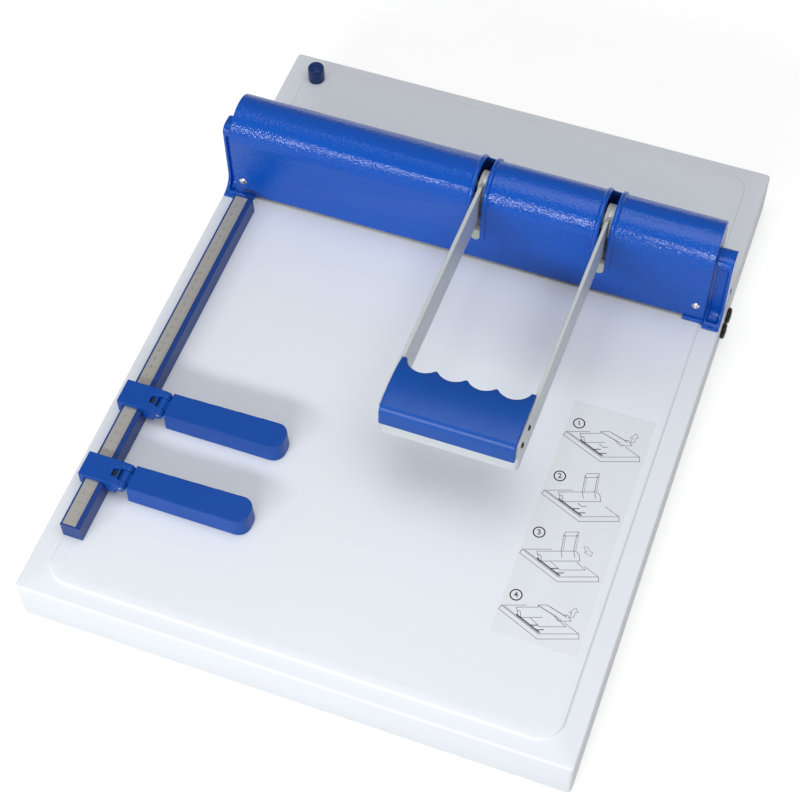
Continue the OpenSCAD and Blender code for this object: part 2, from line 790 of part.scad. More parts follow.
// Rectangle that ends at the origin's level, with two round front corners.
module bent_outline(w, d, r) {
    translate([-w / 2, -d + r]) square([w, d - r]);
    translate([-w / 2 + r, -d]) square([w - 2 * r, d]);
    for (x = side_x) translate([x * (w / 2 - r), -d + r]) circle(r, $fn = 48);
}

grip_low = -0.5;
grip_front = -handle_reach - grip_proud;
grip_tip = grip_front + grip_d;
grip_valley = grip_tip - finger_step - finger_depth;
finger_r = (pow(finger_pitch / 2, 2) + pow(finger_depth, 2)) / (2 * finger_depth);
// the round ridges touch the hollows on both sides
ridge_drop = sqrt(pow(finger_r + ridge_r, 2) - pow(finger_pitch / 2, 2));
ridge_y = grip_valley + finger_r - ridge_drop;
grip_w = handle_w - 2 * grip_in;

// Plan of the grip: straight front, four finger hollows with round ridges, longer ends.
module grip_plan() {
    difference() {
        translate([handle_x - grip_w / 2, grip_front]) square([grip_w, grip_d]);
        for (i = [-1.5:1:1.5])
            translate([handle_x + i * finger_pitch, grip_valley + finger_r])
                circle(finger_r, $fn = 96);
        translate([handle_x - 1.5 * finger_pitch, ridge_y + ridge_r * ridge_drop / (finger_r + ridge_r)])
            square([3 * finger_pitch, grip_d]);
    }
    for (i = [-1:1]) translate([handle_x + i * finger_pitch, ridge_y]) circle(ridge_r, $fn = 32);
}

// Side view of the grip: upright front, round shoulder and a domed top that meet smoothly.
grip_dome_y = grip_front + grip_d / 2;
grip_dome_z = grip_up - grip_crown;
shoulder_y = grip_front + grip_round;
shoulder_z = grip_dome_z
    + sqrt(pow(grip_crown - grip_round, 2) - pow(shoulder_y - grip_dome_y, 2));
shoulder_a = atan2(shoulder_z - grip_dome_z, shoulder_y - grip_dome_y);

module grip_side() {
    polygon(concat(
        [[grip_front, grip_low]],
        arc(shoulder_y, shoulder_z, grip_round, 180, shoulder_a, 10),
        arc(grip_dome_y, grip_dome_z, grip_crown, shoulder_a - 3,
            acos((grip_tip + 1 - grip_dome_y) / grip_crown), 12),
        [[grip_tip + 1, grip_low + 5], [grip_tip - 4, grip_low]]));
}

module handle_grip() {
    color(blue) at_shaft() difference() {
        intersection() {
            along_x(handle_x - handle_w / 2, handle_x + handle_w / 2) grip_side();
            translate([0, 0, grip_low - 1]) linear_extrude(grip_up + 4) grip_plan();
        }
        // channel for the flat bar, open below
        translate([0, 0, grip_low - 1]) linear_extrude(bar_half + seat + 1 - grip_low) difference() {
            translate([handle_x, -neck]) bent_outline(handle_w + 2, handle_reach - neck + seat, bend_r);
            translate([handle_x, bar_t + seat - neck])
                bent_outline(handle_w - 2 * bar_t - 2 * seat, handle_reach - neck, bend_in);
        }
        // hollow underside with ribs left standing
        for (i = [-1.5:1:1.5])
            translate([handle_x + i * finger_pitch - (finger_pitch - grip_wall) / 2,
                -handle_reach + bar_t + grip_wall, grip_low - 1])
                cube([finger_pitch - grip_wall, grip_valley + handle_reach - bar_t - 2 * grip_wall,
                    grip_up - grip_wall - 1.5 - grip_low]);
        for (x = [handle_x - handle_w / 2, handle_x + handle_w / 2], y = grip_screw_y)
            rod_x(x - 16, x + 16, y, grip_screw_z, 1.8 + fixed, 24);
    }
}

module grip_screws() {
    color("#303438") at_shaft()
        for (s = side_x, y = grip_screw_y)
            translate([handle_x + s * handle_w / 2, y, grip_screw_z])
                rotate([0, s * 90, 0]) dome_screw(3.2, 1.8, 1.8, 14);
}

// ---- Blade ----

bar_top = shaft_z - cam_r - cam_gap;
bar_low = bar_top - blade_bar_h;
bar_end = 2.5;
blade_tip = table_z - blade_dip;
blade_l = matrix_l - 2;
notch_w = slot_w + 8;
notch_d = blade_lift + hub_r - cam_r + 1.4;
clamp_t = 3;
blade_screw_x = [for (i = [-3:3]) matrix_x + i * 62];

module blade_bar() {
    color(steel) difference() {
        translate([block_left + bar_end, crease_y - blade_bar_t / 2, bar_low])
            cube([block_right - block_left - 2 * bar_end, blade_bar_t, blade_bar_h]);
        for (x = arm_x)
            translate([x - notch_w / 2, crease_y - blade_bar_t, bar_top - notch_d])
                cube([notch_w, 2 * blade_bar_t, notch_d + 1]);
        // step that the blade and its clamp lie in
        translate([matrix_x - blade_l / 2, crease_y - blade_bar_t, bar_low - 1])
            cube([blade_l, blade_bar_t + blade_t / 2, blade_step + 1]);
        for (x = blade_screw_x)
            translate([x, crease_y - 1, bar_low + blade_step / 2]) rotate([-90, 0, 0])
                cylinder(h = blade_bar_t, r = 2, $fn = 24);
    }
}

module crease_blade() {
    color("#d0d4d8") difference() {
        translate([matrix_x - blade_l / 2, crease_y - blade_t / 2, blade_tip + blade_t / 2])
            cube([blade_l, blade_t, bar_low + blade_step - blade_tip - blade_t / 2]);
        for (x = blade_screw_x)
            translate([x, crease_y - 2, bar_low + blade_step / 2]) rotate([-90, 0, 0])
                cylinder(h = 4, r = 2, $fn = 24);
    }
    color("#d0d4d8")
        rod_x(matrix_x - blade_l / 2, matrix_x + blade_l / 2, crease_y, blade_tip + blade_t / 2,
            blade_t / 2, 24);
}

module blade_clamp() {
    color(steel) difference() {
        translate([matrix_x - blade_l / 2, crease_y - blade_t / 2 - clamp_t, bar_low + 1])
            cube([blade_l, clamp_t, blade_step - 2]);
        for (x = blade_screw_x)
            translate([x, crease_y - clamp_t - 2, bar_low + blade_step / 2]) rotate([-90, 0, 0])
                cylinder(h = clamp_t + 4, r = 2, $fn = 24);
    }
}

module blade_screws() {
    color("#303438") for (x = blade_screw_x)
        translate([x, crease_y - blade_t / 2 - clamp_t, bar_low + blade_step / 2]) rotate([90, 0, 0])
            dome_screw(3.6, 2.2, 2, 10);
}

// Short springs under the bar's ends that lift it when the handle goes up.
module return_springs() {
    color(steel) for (s = side_x) {
        face = s < 0 ? block_left : block_right;
        translate([face - s * 5, crease_y, spring_z0]) difference() {
            cylinder(h = bar_low - spring_z0, r = 2.6, $fn = 32);
            translate([0, 0, -1]) cylinder(h = 60, r = 1.8, $fn = 32);
        }
    }
}

// ---- Stops ----

slider_top = rail_top + slide + slider_roof;
hinge_x = rail_x + rail_w / 2 + slide + 15.7;
hinge_z = rail_top - 0.3;
body_right = hinge_x - ear_r - slide;
ear_w = 7;
knuckle_w = slider_w - 2 * ear_w - 2 * slide;
arm_x0 = hinge_x + ear_r + 0.8;
arm_x1 = hinge_x + arm_len;
arm_z0 = table_z + slide;
arm_z1 = hinge_z + arm_up;
window_w = 5;
window_l = 8.8;
window_x = body_right - 4.3;
stop_y = [-base_d / 2 + front_stop_at, -base_d / 2 + rear_stop_at];

module slider(y) {
    left = rail_x - rail_w / 2 - slide - slider_wall;
    color(blue) translate([0, y, 0]) difference() {
        union() {
            translate([left, -slider_w / 2, rail_top - 11])
                cube([body_right - left, slider_w, slider_top - rail_top + 11]);
            translate([rail_x + rail_w / 2 + slide, -slider_w / 2, table_z + 9])
                cube([body_right - rail_x - rail_w / 2 - slide, slider_w, 12]);
            for (s = side_x) translate([hinge_x, s * (slider_w - ear_w) / 2, hinge_z])
                rotate([90, 0, 0]) {
                    cylinder(h = ear_w, r = ear_r, center = true, $fn = 48);
                    translate([-ear_r - 1, 0, 0])
                        cube([2 * ear_r + 2, 2 * ear_r, ear_w], center = true);
                }
        }
        // channel for the rail
        translate([rail_x - rail_w / 2 - slide, -slider_w, table_z - 1])
            cube([rail_w + 2 * slide, 2 * slider_w, rail_h + 1 + slide]);
        translate([hinge_x, 0, hinge_z]) rotate([90, 0, 0])
            cylinder(h = 2 * slider_w, r = pin_r, center = true, $fn = 32);
        translate([window_x - window_w / 2, -window_l / 2, slider_top - 9])
            cube([window_w, window_l, 10]);
    }
}

module friction_pad(y) {
    color("#181818") translate([window_x - window_w / 2 + 0.4, y - window_l / 2 + 0.4, slider_top - 9])
        cube([window_w - 0.8, window_l - 0.8, 5]);
}

module hinge_pin(y) {
    color(steel) translate([hinge_x, y, hinge_z]) rotate([90, 0, 0])
        cylinder(h = slider_w - 0.4, r = pin_r, center = true, $fn = 32);
}

// Plan of an arm at one level: nearly straight sides and a round tip.
module arm_plan(grow) {
    tip_r = arm_tip_r + grow;
    hull() {
        translate([arm_x0, -arm_front - grow]) square([1, arm_w + 2 * grow]);
        for (y = [-arm_front + arm_tip_r, arm_tip_w - arm_front - arm_tip_r])
            translate([arm_x1 - arm_tip_r, y]) circle(tip_r, $fn = 48);
    }
}

module stop_arm(y) {
    h = arm_z1 - arm_z0;
    color(blue) translate([0, y, 0]) difference() {
        union() {
            hull() {
                translate([0, 0, arm_z0]) linear_extrude(0.5) arm_plan(0);
                translate([0, 0, arm_z1 - 0.5]) linear_extrude(0.5) arm_plan(-arm_draft);
            }
            translate([hinge_x, 0, hinge_z]) rotate([90, 0, 0])
                cylinder(h = knuckle_w, r = ear_r - 0.2, center = true, $fn = 48);
            translate([hinge_x, -knuckle_w / 2, hinge_z - ear_r + 0.2])
                cube([arm_x0 - hinge_x + 3, knuckle_w, ear_r + 0.3]);
        }
        translate([hinge_x, 0, hinge_z]) rotate([90, 0, 0])
            cylinder(h = 2 * slider_w, r = pin_r + run, center = true, $fn = 32);
        // hollow underside with cross ribs
        for (i = [0:3])
            translate([arm_x0 + arm_wall + i * rib_pitch, -arm_front + arm_wall + arm_draft,
                arm_z0 - 1])
                cube([rib_pitch - 2, arm_w - 2 * arm_wall - 2 * arm_draft, h - arm_wall + 1]);
    }
}
rib_pitch = (arm_x1 - arm_x0 - 2 * arm_wall - 6) / 4;

module front_slider() { slider(stop_y[0]); }
module rear_slider() { slider(stop_y[1]); }
module front_friction_pad() { friction_pad(stop_y[0]); }
module rear_friction_pad() { friction_pad(stop_y[1]); }
module front_hinge_pin() { hinge_pin(stop_y[0]); }
module rear_hinge_pin() { hinge_pin(stop_y[1]); }
module front_stop_arm() { stop_arm(stop_y[0]); }
module rear_stop_arm() { stop_arm(stop_y[1]); }

// ---- Clamp knobs ----

module clamp_knob(y) {
    color("#151515") translate([base_w / 2 + slide, y, clamp_z]) rotate([0, 90, 0]) difference() {
        rotate_extrude($fn = 64) polygon(concat([[0, 0], [knob_r - 0.8, 0]],
            arc(knob_r - 3, knob_l - 3.6, 3, 0, 70, 8), [[0, knob_l]]));
        translate([0, 0, -1]) cylinder(h = knob_l - 1, r = clamp_r, $fn = 32);
    }
}

module clamp_screw(y) {
    color(steel) rod_x(anvil_x1 - 14, base_w / 2 + slide + knob_l - 2, y, clamp_z, clamp_r, 32);
}

module front_clamp_knob() { clamp_knob(clamp_y[0]); }
module front_clamp_screw() { clamp_screw(clamp_y[0]); }
module rear_clamp_knob() { clamp_knob(clamp_y[1]); }
module rear_clamp_screw() { clamp_screw(clamp_y[1]); }

base_shell();
stiffener_channels();
rubber_feet();
foot_screws();
bed_channel();
anvil_bar();
creasing_matrix();
left_bracket();
right_bracket();
bracket_bolts();
shaft_bushes();
blade_guides();
cover();
cover_screws();
slot_bumpers();
guide_rail();
rail_end_caps();
rail_scale();
rail_screws();
rear_peg();
peg_screw();
return_springs();
cam_shaft();
cams();
cam_set_screws();
arm_collars();
handle_frame();
handle_grip();
grip_screws();
blade_bar();
crease_blade();
blade_clamp();
blade_screws();
front_slider();
front_friction_pad();
front_hinge_pin();
front_stop_arm();
rear_slider();
rear_friction_pad();
rear_hinge_pin();
rear_stop_arm();
front_clamp_knob();
front_clamp_screw();
rear_clamp_knob();
rear_clamp_screw();
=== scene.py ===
"""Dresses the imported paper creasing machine: finishes, rolled edges, screws, scale and sheet."""

import json
import logging
import math
from dataclasses import dataclass
from enum import Enum
from typing import Any, Callable, Iterable, Mapping, Sequence

import bmesh
import bpy
from mathutils import Matrix, Vector


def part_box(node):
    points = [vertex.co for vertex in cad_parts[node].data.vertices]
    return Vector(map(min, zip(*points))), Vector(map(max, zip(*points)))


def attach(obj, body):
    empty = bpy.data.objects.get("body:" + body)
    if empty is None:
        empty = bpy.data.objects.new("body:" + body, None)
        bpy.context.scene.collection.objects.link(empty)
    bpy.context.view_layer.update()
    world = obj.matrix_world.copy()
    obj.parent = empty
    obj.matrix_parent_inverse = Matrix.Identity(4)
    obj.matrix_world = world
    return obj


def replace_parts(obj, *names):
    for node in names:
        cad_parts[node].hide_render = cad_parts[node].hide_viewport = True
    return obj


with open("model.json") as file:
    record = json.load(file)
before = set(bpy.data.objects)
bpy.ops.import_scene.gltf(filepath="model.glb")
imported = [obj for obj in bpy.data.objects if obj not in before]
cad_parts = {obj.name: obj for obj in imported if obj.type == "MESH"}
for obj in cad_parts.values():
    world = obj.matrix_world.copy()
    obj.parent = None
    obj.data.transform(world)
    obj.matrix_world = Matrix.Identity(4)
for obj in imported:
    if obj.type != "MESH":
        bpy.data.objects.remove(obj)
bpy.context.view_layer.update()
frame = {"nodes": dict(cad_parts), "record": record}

MM = 0.001
SHARP_DEG = 35.0
RAW_SHARP_DEG = 30.0
ROLLED_SHARP_DEG = 32.0
CARVED_SHARP_DEG = 40.0
FLAT_DEG = 0.6
WELD_M = 2e-6
PRINT_LIFT_MM = 0.02
FIGURE_HEIGHT = 0.7  # of the font's size
LOG = logging.getLogger("creaser")

Point = tuple[float, float, float]
Colour = tuple[float, float, float]


# ---------------- node trees


class NodeTree:
    """A node tree whose nodes all come from one method."""

    tree: bpy.types.NodeTree

    def add(self, kind: str, settings: Mapping[str, Any],
            inputs: Mapping[Any, Any]) -> bpy.types.Node:
        """Creates a node, sets it up and feeds its inputs.

        Args:
            kind: The node's type.
            settings: Attributes to set first.
            inputs: Input names or numbers, with a value, colour, wire or socket for each.

        Returns:
            The node.
        """
        made = self.tree.nodes.new(kind)
        for key, value in settings.items():
            setattr(made, key, value)
        for key, value in inputs.items():
            source, entry = getattr(value, "socket", value), made.inputs[key]
            if isinstance(source, bpy.types.NodeSocket):
                self.tree.links.new(source, entry)
            elif entry.type == "RGBA":
                entry.default_value = (*value, 1.0)
            else:
                entry.default_value = value
        return made


def arithmetic(operation: str, swapped: bool = False) -> Callable[["Wire", Any], "Wire"]:
    """Makes one of a wire's operators.

    Args:
        operation: The Math node's operation.
        swapped: Whether the wire comes second, as in 1 - mask.

    Returns:
        A method that works on a wire and a number or wire.
    """

    def apply(wire: "Wire", other: Any) -> "Wire":
        """Adds one Math node and returns its result."""
        values = (other, wire) if swapped else (wire, other)
        return wire.tree.node("ShaderNodeMath", {"operation": operation}, dict(enumerate(values)))

    return apply


class Wire:
    """One value in a shader tree that Python's arithmetic operators work on."""

    __add__ = arithmetic("ADD")
    __radd__ = arithmetic("ADD", swapped=True)
    __sub__ = arithmetic("SUBTRACT")
    __rsub__ = arithmetic("SUBTRACT", swapped=True)
    __mul__ = arithmetic("MULTIPLY")
    __rmul__ = arithmetic("MULTIPLY", swapped=True)
    __gt__ = arithmetic("GREATER_THAN")
    __lt__ = arithmetic("LESS_THAN")

    def __init__(self, tree: "ShaderTree", socket: bpy.types.NodeSocket) -> None:
        """Keeps an output socket and the tree that it belongs to."""
        self.tree = tree
        self.socket = socket

    def clamp(self) -> "Wire":
        """Keeps the value between 0 and 1."""
        return self.tree.node("ShaderNodeClamp", {}, {"Value": self})


class ShaderTree(NodeTree):
    """A material's or world's node tree, whose nodes give wires."""

    def __init__(self, name: str, owner: bpy.types.ID | None = None) -> None:
        """Starts an empty tree.

        Args:
            name: A new material's name.
            owner: What holds the tree, or None for a new material.
        """
        self.owner = owner or bpy.data.materials.new(name)
        self.owner.use_nodes = True
        self.tree = self.owner.node_tree
        self.tree.nodes.clear()
        self.position = self.node("ShaderNodeTexCoord", {}, {}, output="Object")

    def node(self, kind: str, settings: Mapping[str, Any], inputs: Mapping[Any, Any],
             output: int | str = 0) -> Wire:
        """Adds a node and returns one of its outputs as a wire."""
        return Wire(self, self.add(kind, settings, inputs).outputs[output])

    def stretched(self, scale: Point) -> Wire:
        """Returns the pattern's coordinates, scaled by a factor along each axis."""
        return self.node("ShaderNodeMapping", {}, {"Vector": self.position, "Scale": scale})

    def noise(self, size_mm: float, detail: float = 2.0, rough: float = 0.5,
              at: Wire | None = None) -> Wire:
        """Adds a noise whose blobs are about size_mm across.

        Args:
            size_mm: The size of the blobs.
            detail: Octaves.
            rough: Share that each octave keeps.
            at: Coordinates, or None for the object's own.

        Returns:
            The noise's factor.
        """
        return self.node("ShaderNodeTexNoise", {},
                         {"Vector": at or self.position, "Scale": 1.0 / (size_mm * MM),
                          "Detail": detail, "Roughness": rough})

    def cells(self, size_mm: float) -> Wire:
        """Returns the distance to the middle of cells about size_mm across."""
        return self.node("ShaderNodeTexVoronoi", {},
                         {"Vector": self.position, "Scale": 1.0 / (size_mm * MM)})

    def mix(self, share: Wire, a: Colour, b: Colour) -> Wire:
        """Blends two colours, of which the second has the given share."""
        return self.node("ShaderNodeMix", {"data_type": "RGBA"}, {0: share, 6: a, 7: b}, output=2)

    def bump(self, height: Wire, depth_mm: float) -> Wire:
        """Turns a height from 0 to 1 into a normal, for a relief of depth_mm."""
        return self.node("ShaderNodeBump", {}, {"Height": height, "Distance": depth_mm * MM})

    def close(self, **inputs: Any) -> bpy.types.Material:
        """Adds the surface shader and the output.

        Args:
            **inputs: The shader's inputs, with _ for a space in the name.

        Returns:
            The finished material.
        """
        named = {key.replace("_", " "): value for key, value in inputs.items()}
        self.end(self.node("ShaderNodeBsdfPrincipled", {}, named))
        return self.owner

    def end(self, surface: Wire, kind: str = "Material") -> None:
        """Links a surface to the material's or world's output."""
        self.add("ShaderNodeOutput" + kind, {}, {"Surface": surface})


# ---------------- finishes


class Finish:
    """A finish for one of the record's material slots, which is built once and then shared."""

    name: str
    slot: str
    _made: dict[str, bpy.types.Material] = {}

    def material(self) -> bpy.types.Material:
        """Returns the finish's material, and builds it the first time."""
        if self.name not in Finish._made:
            Finish._made[self.name] = self.build()
        return Finish._made[self.name]

    def build(self) -> bpy.types.Material:
        """Builds the material."""
        raise NotImplementedError


def shaded(colour: Colour, factor: float, lift: float = 0.0) -> Colour:
    """Returns a colour multiplied by a factor and then raised, with no channel over 1."""
    return tuple(min(1.0, c * factor + lift) for c in colour)


@dataclass(frozen=True)
class PowderCoat(Finish):
    """Sprayed paint with an orange-peel skin."""

    name: str
    slot: str
    colour: Colour
    peel_mm: float = 1.4
    peel_depth_mm: float = 0.02
    gloss: float = 0.35
    shine: float = 0.5
    mottle: float = 0.04
    cloud_mm: float = 90.0
    rubbed_mm: float = 28.0
    rubbed: float = 0.14

    def build(self) -> bpy.types.Material:
        """Builds colour mottling, a two-scale skin and faint handling marks."""
        t = ShaderTree(self.name)
        cloud = t.noise(self.cloud_mm, 3.0)
        speck = t.noise(self.peel_mm * 2.2, 2.0)
        base = t.mix(cloud * 0.7 + speck * 0.3, shaded(self.colour, 1.0 - 2.0 * self.mottle),
                     shaded(self.colour, 1.0 + self.mottle))
        skin = t.noise(self.peel_mm, 1.0) * 0.65 + t.cells(self.peel_mm * 1.3) * 0.5
        marks = t.noise(self.rubbed_mm, 4.0, 0.6)
        return t.close(Base_Color=base, Roughness=(marks - 0.5) * self.rubbed + self.gloss,
                       Specular_IOR_Level=self.shine, Normal=t.bump(skin, self.peel_depth_mm))


@dataclass(frozen=True)
class MouldedPlastic(Finish):
    """Injection-moulded plastic with a fine skin and faint flow marks."""

    name: str
    slot: str
    colour: Colour
    gloss: float = 0.3
    shine: float = 0.5
    flow_mm: float = 26.0
    smear_mm: float = 9.0
    smear: float = 0.16
    grain_mm: float = 0.45
    grain_depth_mm: float = 0.004

    def build(self) -> bpy.types.Material:
        """Builds the slightly uneven colour and the fine grain."""
        t = ShaderTree(self.name)
        flow = t.noise(self.flow_mm, 3.0, 0.55, at=t.stretched((1.0, 0.45, 1.0)))
        grain = t.noise(self.grain_mm, 2.0)
        smear = t.noise(self.smear_mm, 3.0, 0.6)
        return t.close(Base_Color=t.mix(flow, shaded(self.colour, 0.86), shaded(self.colour, 1.1)),
                       Roughness=(smear - 0.5) * self.smear + self.gloss,
                       Specular_IOR_Level=self.shine, Normal=t.bump(grain, self.grain_depth_mm))


class Lay(Enum):
    """How far a metal's brush marks are drawn out along each axis."""

    ALONG_X = (0.02, 1.0, 1.0)
    ALONG_Y = (1.0, 0.02, 1.0)
    TURNED = (1.0, 1.0, 1.0)


@dataclass(frozen=True)
class BareMetal(Finish):
    """Bare or plated metal with brush marks and a faint bloom."""

    name: str
    slot: str
    colour: Colour
    lay: Lay = Lay.TURNED
    metal: float = 1.0
    gloss: float = 0.32
    scratch_mm: float = 0.35
    scratch_depth_mm: float = 0.004
    bloom_mm: float = 14.0
    spot_mm: float = 3.0
    spot_from: float = 0.68

    def build(self) -> bpy.types.Material:
        """Builds brush marks, a cloudy tarnish and small darker spots."""
        t = ShaderTree(self.name)
        marks = t.noise(self.scratch_mm, 3.0, 0.6, at=t.stretched(self.lay.value))
        bloom = t.noise(self.bloom_mm, 3.0, 0.6)
        spots = (t.noise(self.spot_mm, 2.0) > self.spot_from) * 0.35
        base = t.mix((bloom * 0.45 + marks * 0.25 + spots).clamp(), self.colour,
                     shaded(self.colour, 0.72))
        return t.close(Base_Color=base, Metallic=self.metal,
                       Roughness=marks * 0.16 + bloom * 0.1 + (self.gloss - 0.12),
                       Normal=t.bump(marks, self.scratch_depth_mm))


@dataclass(frozen=True)
class Rubber(Finish):
    """Matt black rubber."""

    name: str
    slot: str
    colour: Colour
    dust_mm: float = 5.0
    grain_mm: float = 0.8
    grain_depth_mm: float = 0.02

    def build(self) -> bpy.types.Material:
        """Builds a dusty black with a moulded grain."""
        t = ShaderTree(self.name)
        dust = t.noise(self.dust_mm, 4.0, 0.6)
        return t.close(Base_Color=t.mix(dust, self.colour, shaded(self.colour, 1.0, 0.03)),
                       Roughness=dust * 0.2 + 0.65,
                       Normal=t.bump(t.noise(self.grain_mm, 2.0), self.grain_depth_mm))


@dataclass(frozen=True)
class Laminate(Finish):
    """A thin frosted film stuck on paint."""

    name: str
    slot: str
    colour: Colour
    gloss: float = 0.28
    crease_mm: float = 22.0
    bubble_mm: float = 7.0
    bubble_share: float = 0.13
    relief_mm: float = 0.03

    def build(self) -> bpy.types.Material:
        """Builds a faintly creased film with a few trapped bubbles."""
        t = ShaderTree(self.name)
        crease = t.noise(self.crease_mm, 2.0, 0.5, at=t.stretched((1.0, 0.35, 1.0)))
        bubble = t.cells(self.bubble_mm) < self.bubble_share
        return t.close(Base_Color=t.mix(crease, self.colour, shaded(self.colour, 0.93)),
                       Roughness=crease * 0.15 + self.gloss,
                       Normal=t.bump(crease + bubble * 0.4, self.relief_mm))


@dataclass(frozen=True)
class Ink(Finish):
    """Printed line work."""

    name: str
    slot: str
    colour: Colour
    fade_mm: float = 2.5

    def build(self) -> bpy.types.Material:
        """Builds ink whose density varies a little along the lines."""
        t = ShaderTree(self.name)
        fade = t.noise(self.fade_mm, 3.0)
        return t.close(Base_Color=t.mix(fade, self.colour, shaded(self.colour, 1.0, 0.12)),
                       Roughness=fade * 0.1 + 0.4)


WHITE = PowderCoat("table_white", "white_paint", (0.74, 0.775, 0.825), peel_mm=0.9,
                   peel_depth_mm=0.006, gloss=0.45, shine=0.35, mottle=0.012)
BLUE = PowderCoat("cover_blue", "blue_paint", (0.002, 0.080, 0.46), peel_mm=1.7,
                  peel_depth_mm=0.42, gloss=0.17, shine=0.34, mottle=0.05)
NAVY = PowderCoat("rail_blue", "navy_paint", (0.009, 0.045, 0.22), peel_mm=1.1, gloss=0.36,
                  shine=0.3, mottle=0.06)
GREY = PowderCoat("channel_grey", "grey_paint", (0.30, 0.31, 0.33), peel_mm=1.2, gloss=0.5)
GRIP = MouldedPlastic("grip_blue", "blue_plastic", (0.002, 0.067, 0.355), 0.35, 0.32)
PLASTIC = MouldedPlastic("stop_blue", "blue_plastic", (0.002, 0.062, 0.34), 0.36, 0.26)
PEG = MouldedPlastic("peg_blue", "blue_plastic", (0.006, 0.030, 0.15), 0.34, 0.3)
BLACK = MouldedPlastic("knob_black", "black_plastic", (0.006, 0.006, 0.007), 0.2, 0.35)
NYLON = MouldedPlastic("hub_nylon", "nylon", (0.66, 0.68, 0.64), 0.42, 0.5)
# The slot bumpers' nylon is a darker, greener copy of the hubs' nylon: painted shade for the
# shadow they sit in at the bottom of the slots.
BUMPER_PAINTED_SHADE = MouldedPlastic("bumper_nylon_painted_shade", "nylon", (0.36, 0.39, 0.33), 0.3, 0.5)
BAR = BareMetal("lever_bar", "bar_steel", (0.68, 0.72, 0.74), Lay.ALONG_Y, metal=0.3, gloss=0.44)
MACHINED = BareMetal("machined_steel", "grey_steel", (0.55, 0.55, 0.55), Lay.ALONG_X, gloss=0.36)
ZINC = BareMetal("zinc_plate", "zinc", (0.72, 0.73, 0.74), gloss=0.26)
BLACK_OXIDE = BareMetal("black_oxide", "black_screw", (0.045, 0.045, 0.05), metal=0.7, gloss=0.4)
BRASS = BareMetal("brass_strip", "brass_strip", (0.72, 0.52, 0.24), Lay.ALONG_X, gloss=0.34)
SCALE = BareMetal("scale_strip", "scale_strip", (0.42, 0.41, 0.39), Lay.ALONG_Y, metal=0.3,
                  gloss=0.5, scratch_mm=0.9)
FOOT = Rubber("black_rubber", "black_rubber", (0.018, 0.018, 0.019))
FILM = Laminate("sheet_film", "white_paint", (0.715, 0.75, 0.775))
INK = Ink("sheet_ink", "black_plastic", (0.02, 0.024, 0.035))
SCALE_INK = Ink("scale_ink", "scale_strip", (0.13, 0.12, 0.12))


# ---------------- mesh helpers


def placed(name: str, data: bpy.types.ID) -> bpy.types.Object:
    """Makes an object and links it to the scene.

    Args:
        name: The object's name.
        data: The mesh, curve, lamp or camera that it holds.

    Returns:
        The object.
    """
    made = bpy.data.objects.new(name, data)
    bpy.context.scene.collection.objects.link(made)
    return made


def new_piece(name: str, mesh: bpy.types.Mesh, body: str, finish: Finish) -> bpy.types.Object:
    """Puts a mesh into the scene as a piece of the machine.

    Args:
        name: The piece's name.
        mesh: Its mesh, already in place.
        body: The body it rides on.
        finish: Its finish.

    Returns:
        The new object.
    """
    piece = placed(name, mesh)
    mesh.materials.clear()
    mesh.materials.append(finish.material())
    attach(piece, body)
    LOG.info("%s rides on %s, %d faces", name, body, len(mesh.polygons))
    return piece


def printed(name: str, bm: bmesh.types.BMesh) -> bpy.types.Mesh:
    """Writes a bmesh to a mesh as it is.

    Args:
        name: The mesh's name.
        bm: The bmesh, which is freed.

    Returns:
        The mesh.
    """
    mesh = bpy.data.meshes.new(name)
    bm.to_mesh(mesh)
    bm.free()
    return mesh


def from_bmesh(name: str, bm: bmesh.types.BMesh, smooth_deg: float = SHARP_DEG) -> bpy.types.Mesh:
    """Writes a bmesh to a mesh with its normals pointing outwards.

    Args:
        name: The mesh's name.
        bm: The bmesh, which is freed.
        smooth_deg: Edges sharper than this stay sharp.

    Returns:
        The mesh.
    """
    bmesh.ops.recalc_face_normals(bm, faces=bm.faces)
    mesh = printed(name, bm)
    mesh.shade_smooth()
    mesh.set_sharp_from_angle(angle=math.radians(smooth_deg))
    return mesh


def baked(piece: bpy.types.Object, name: str) -> bpy.types.Mesh:
    """Evaluates an object's modifiers into a plain mesh and removes the object.

    Args:
        piece: The object with live modifiers.
        name: The new mesh's name.

    Returns:
        The plain mesh.
    """
    bpy.context.view_layer.update()
    graph = bpy.context.evaluated_depsgraph_get()
    mesh = bpy.data.meshes.new_from_object(piece.evaluated_get(graph), depsgraph=graph)
    mesh.name = name
    bpy.data.objects.remove(piece)
    return mesh


def carved(piece: bpy.types.Object, cutters: Sequence[bpy.types.Object],
           name: str) -> bpy.types.Mesh:
    """Cuts an object by others and uses them all up.

    Args:
        piece: The object that is cut.
        cutters: What cuts it.
        name: The new mesh's name.

    Returns:
        What is left, as a plain smooth-shaded mesh with its sharp edges kept.
    """
    for cutter in cutters:
        cut = piece.modifiers.new("cut", "BOOLEAN")
        cut.operation = "DIFFERENCE"
        cut.solver = "EXACT"
        cut.object = cutter
    mesh = baked(piece, name)
    for cutter in cutters:
        bpy.data.objects.remove(cutter)
    mesh.shade_smooth()
    mesh.set_sharp_from_angle(angle=math.radians(CARVED_SHARP_DEG))
    return mesh


def merged(node: str) -> bmesh.types.BMesh:
    """Copies a CAD node's mesh and welds its loose triangles.

    Args:
        node: The CAD node.

    Returns:
        The copy.
    """
    bm = bmesh.new()
    bm.from_mesh(frame["nodes"][node].data)
    bmesh.ops.remove_doubles(bm, verts=bm.verts, dist=WELD_M)
    return bm


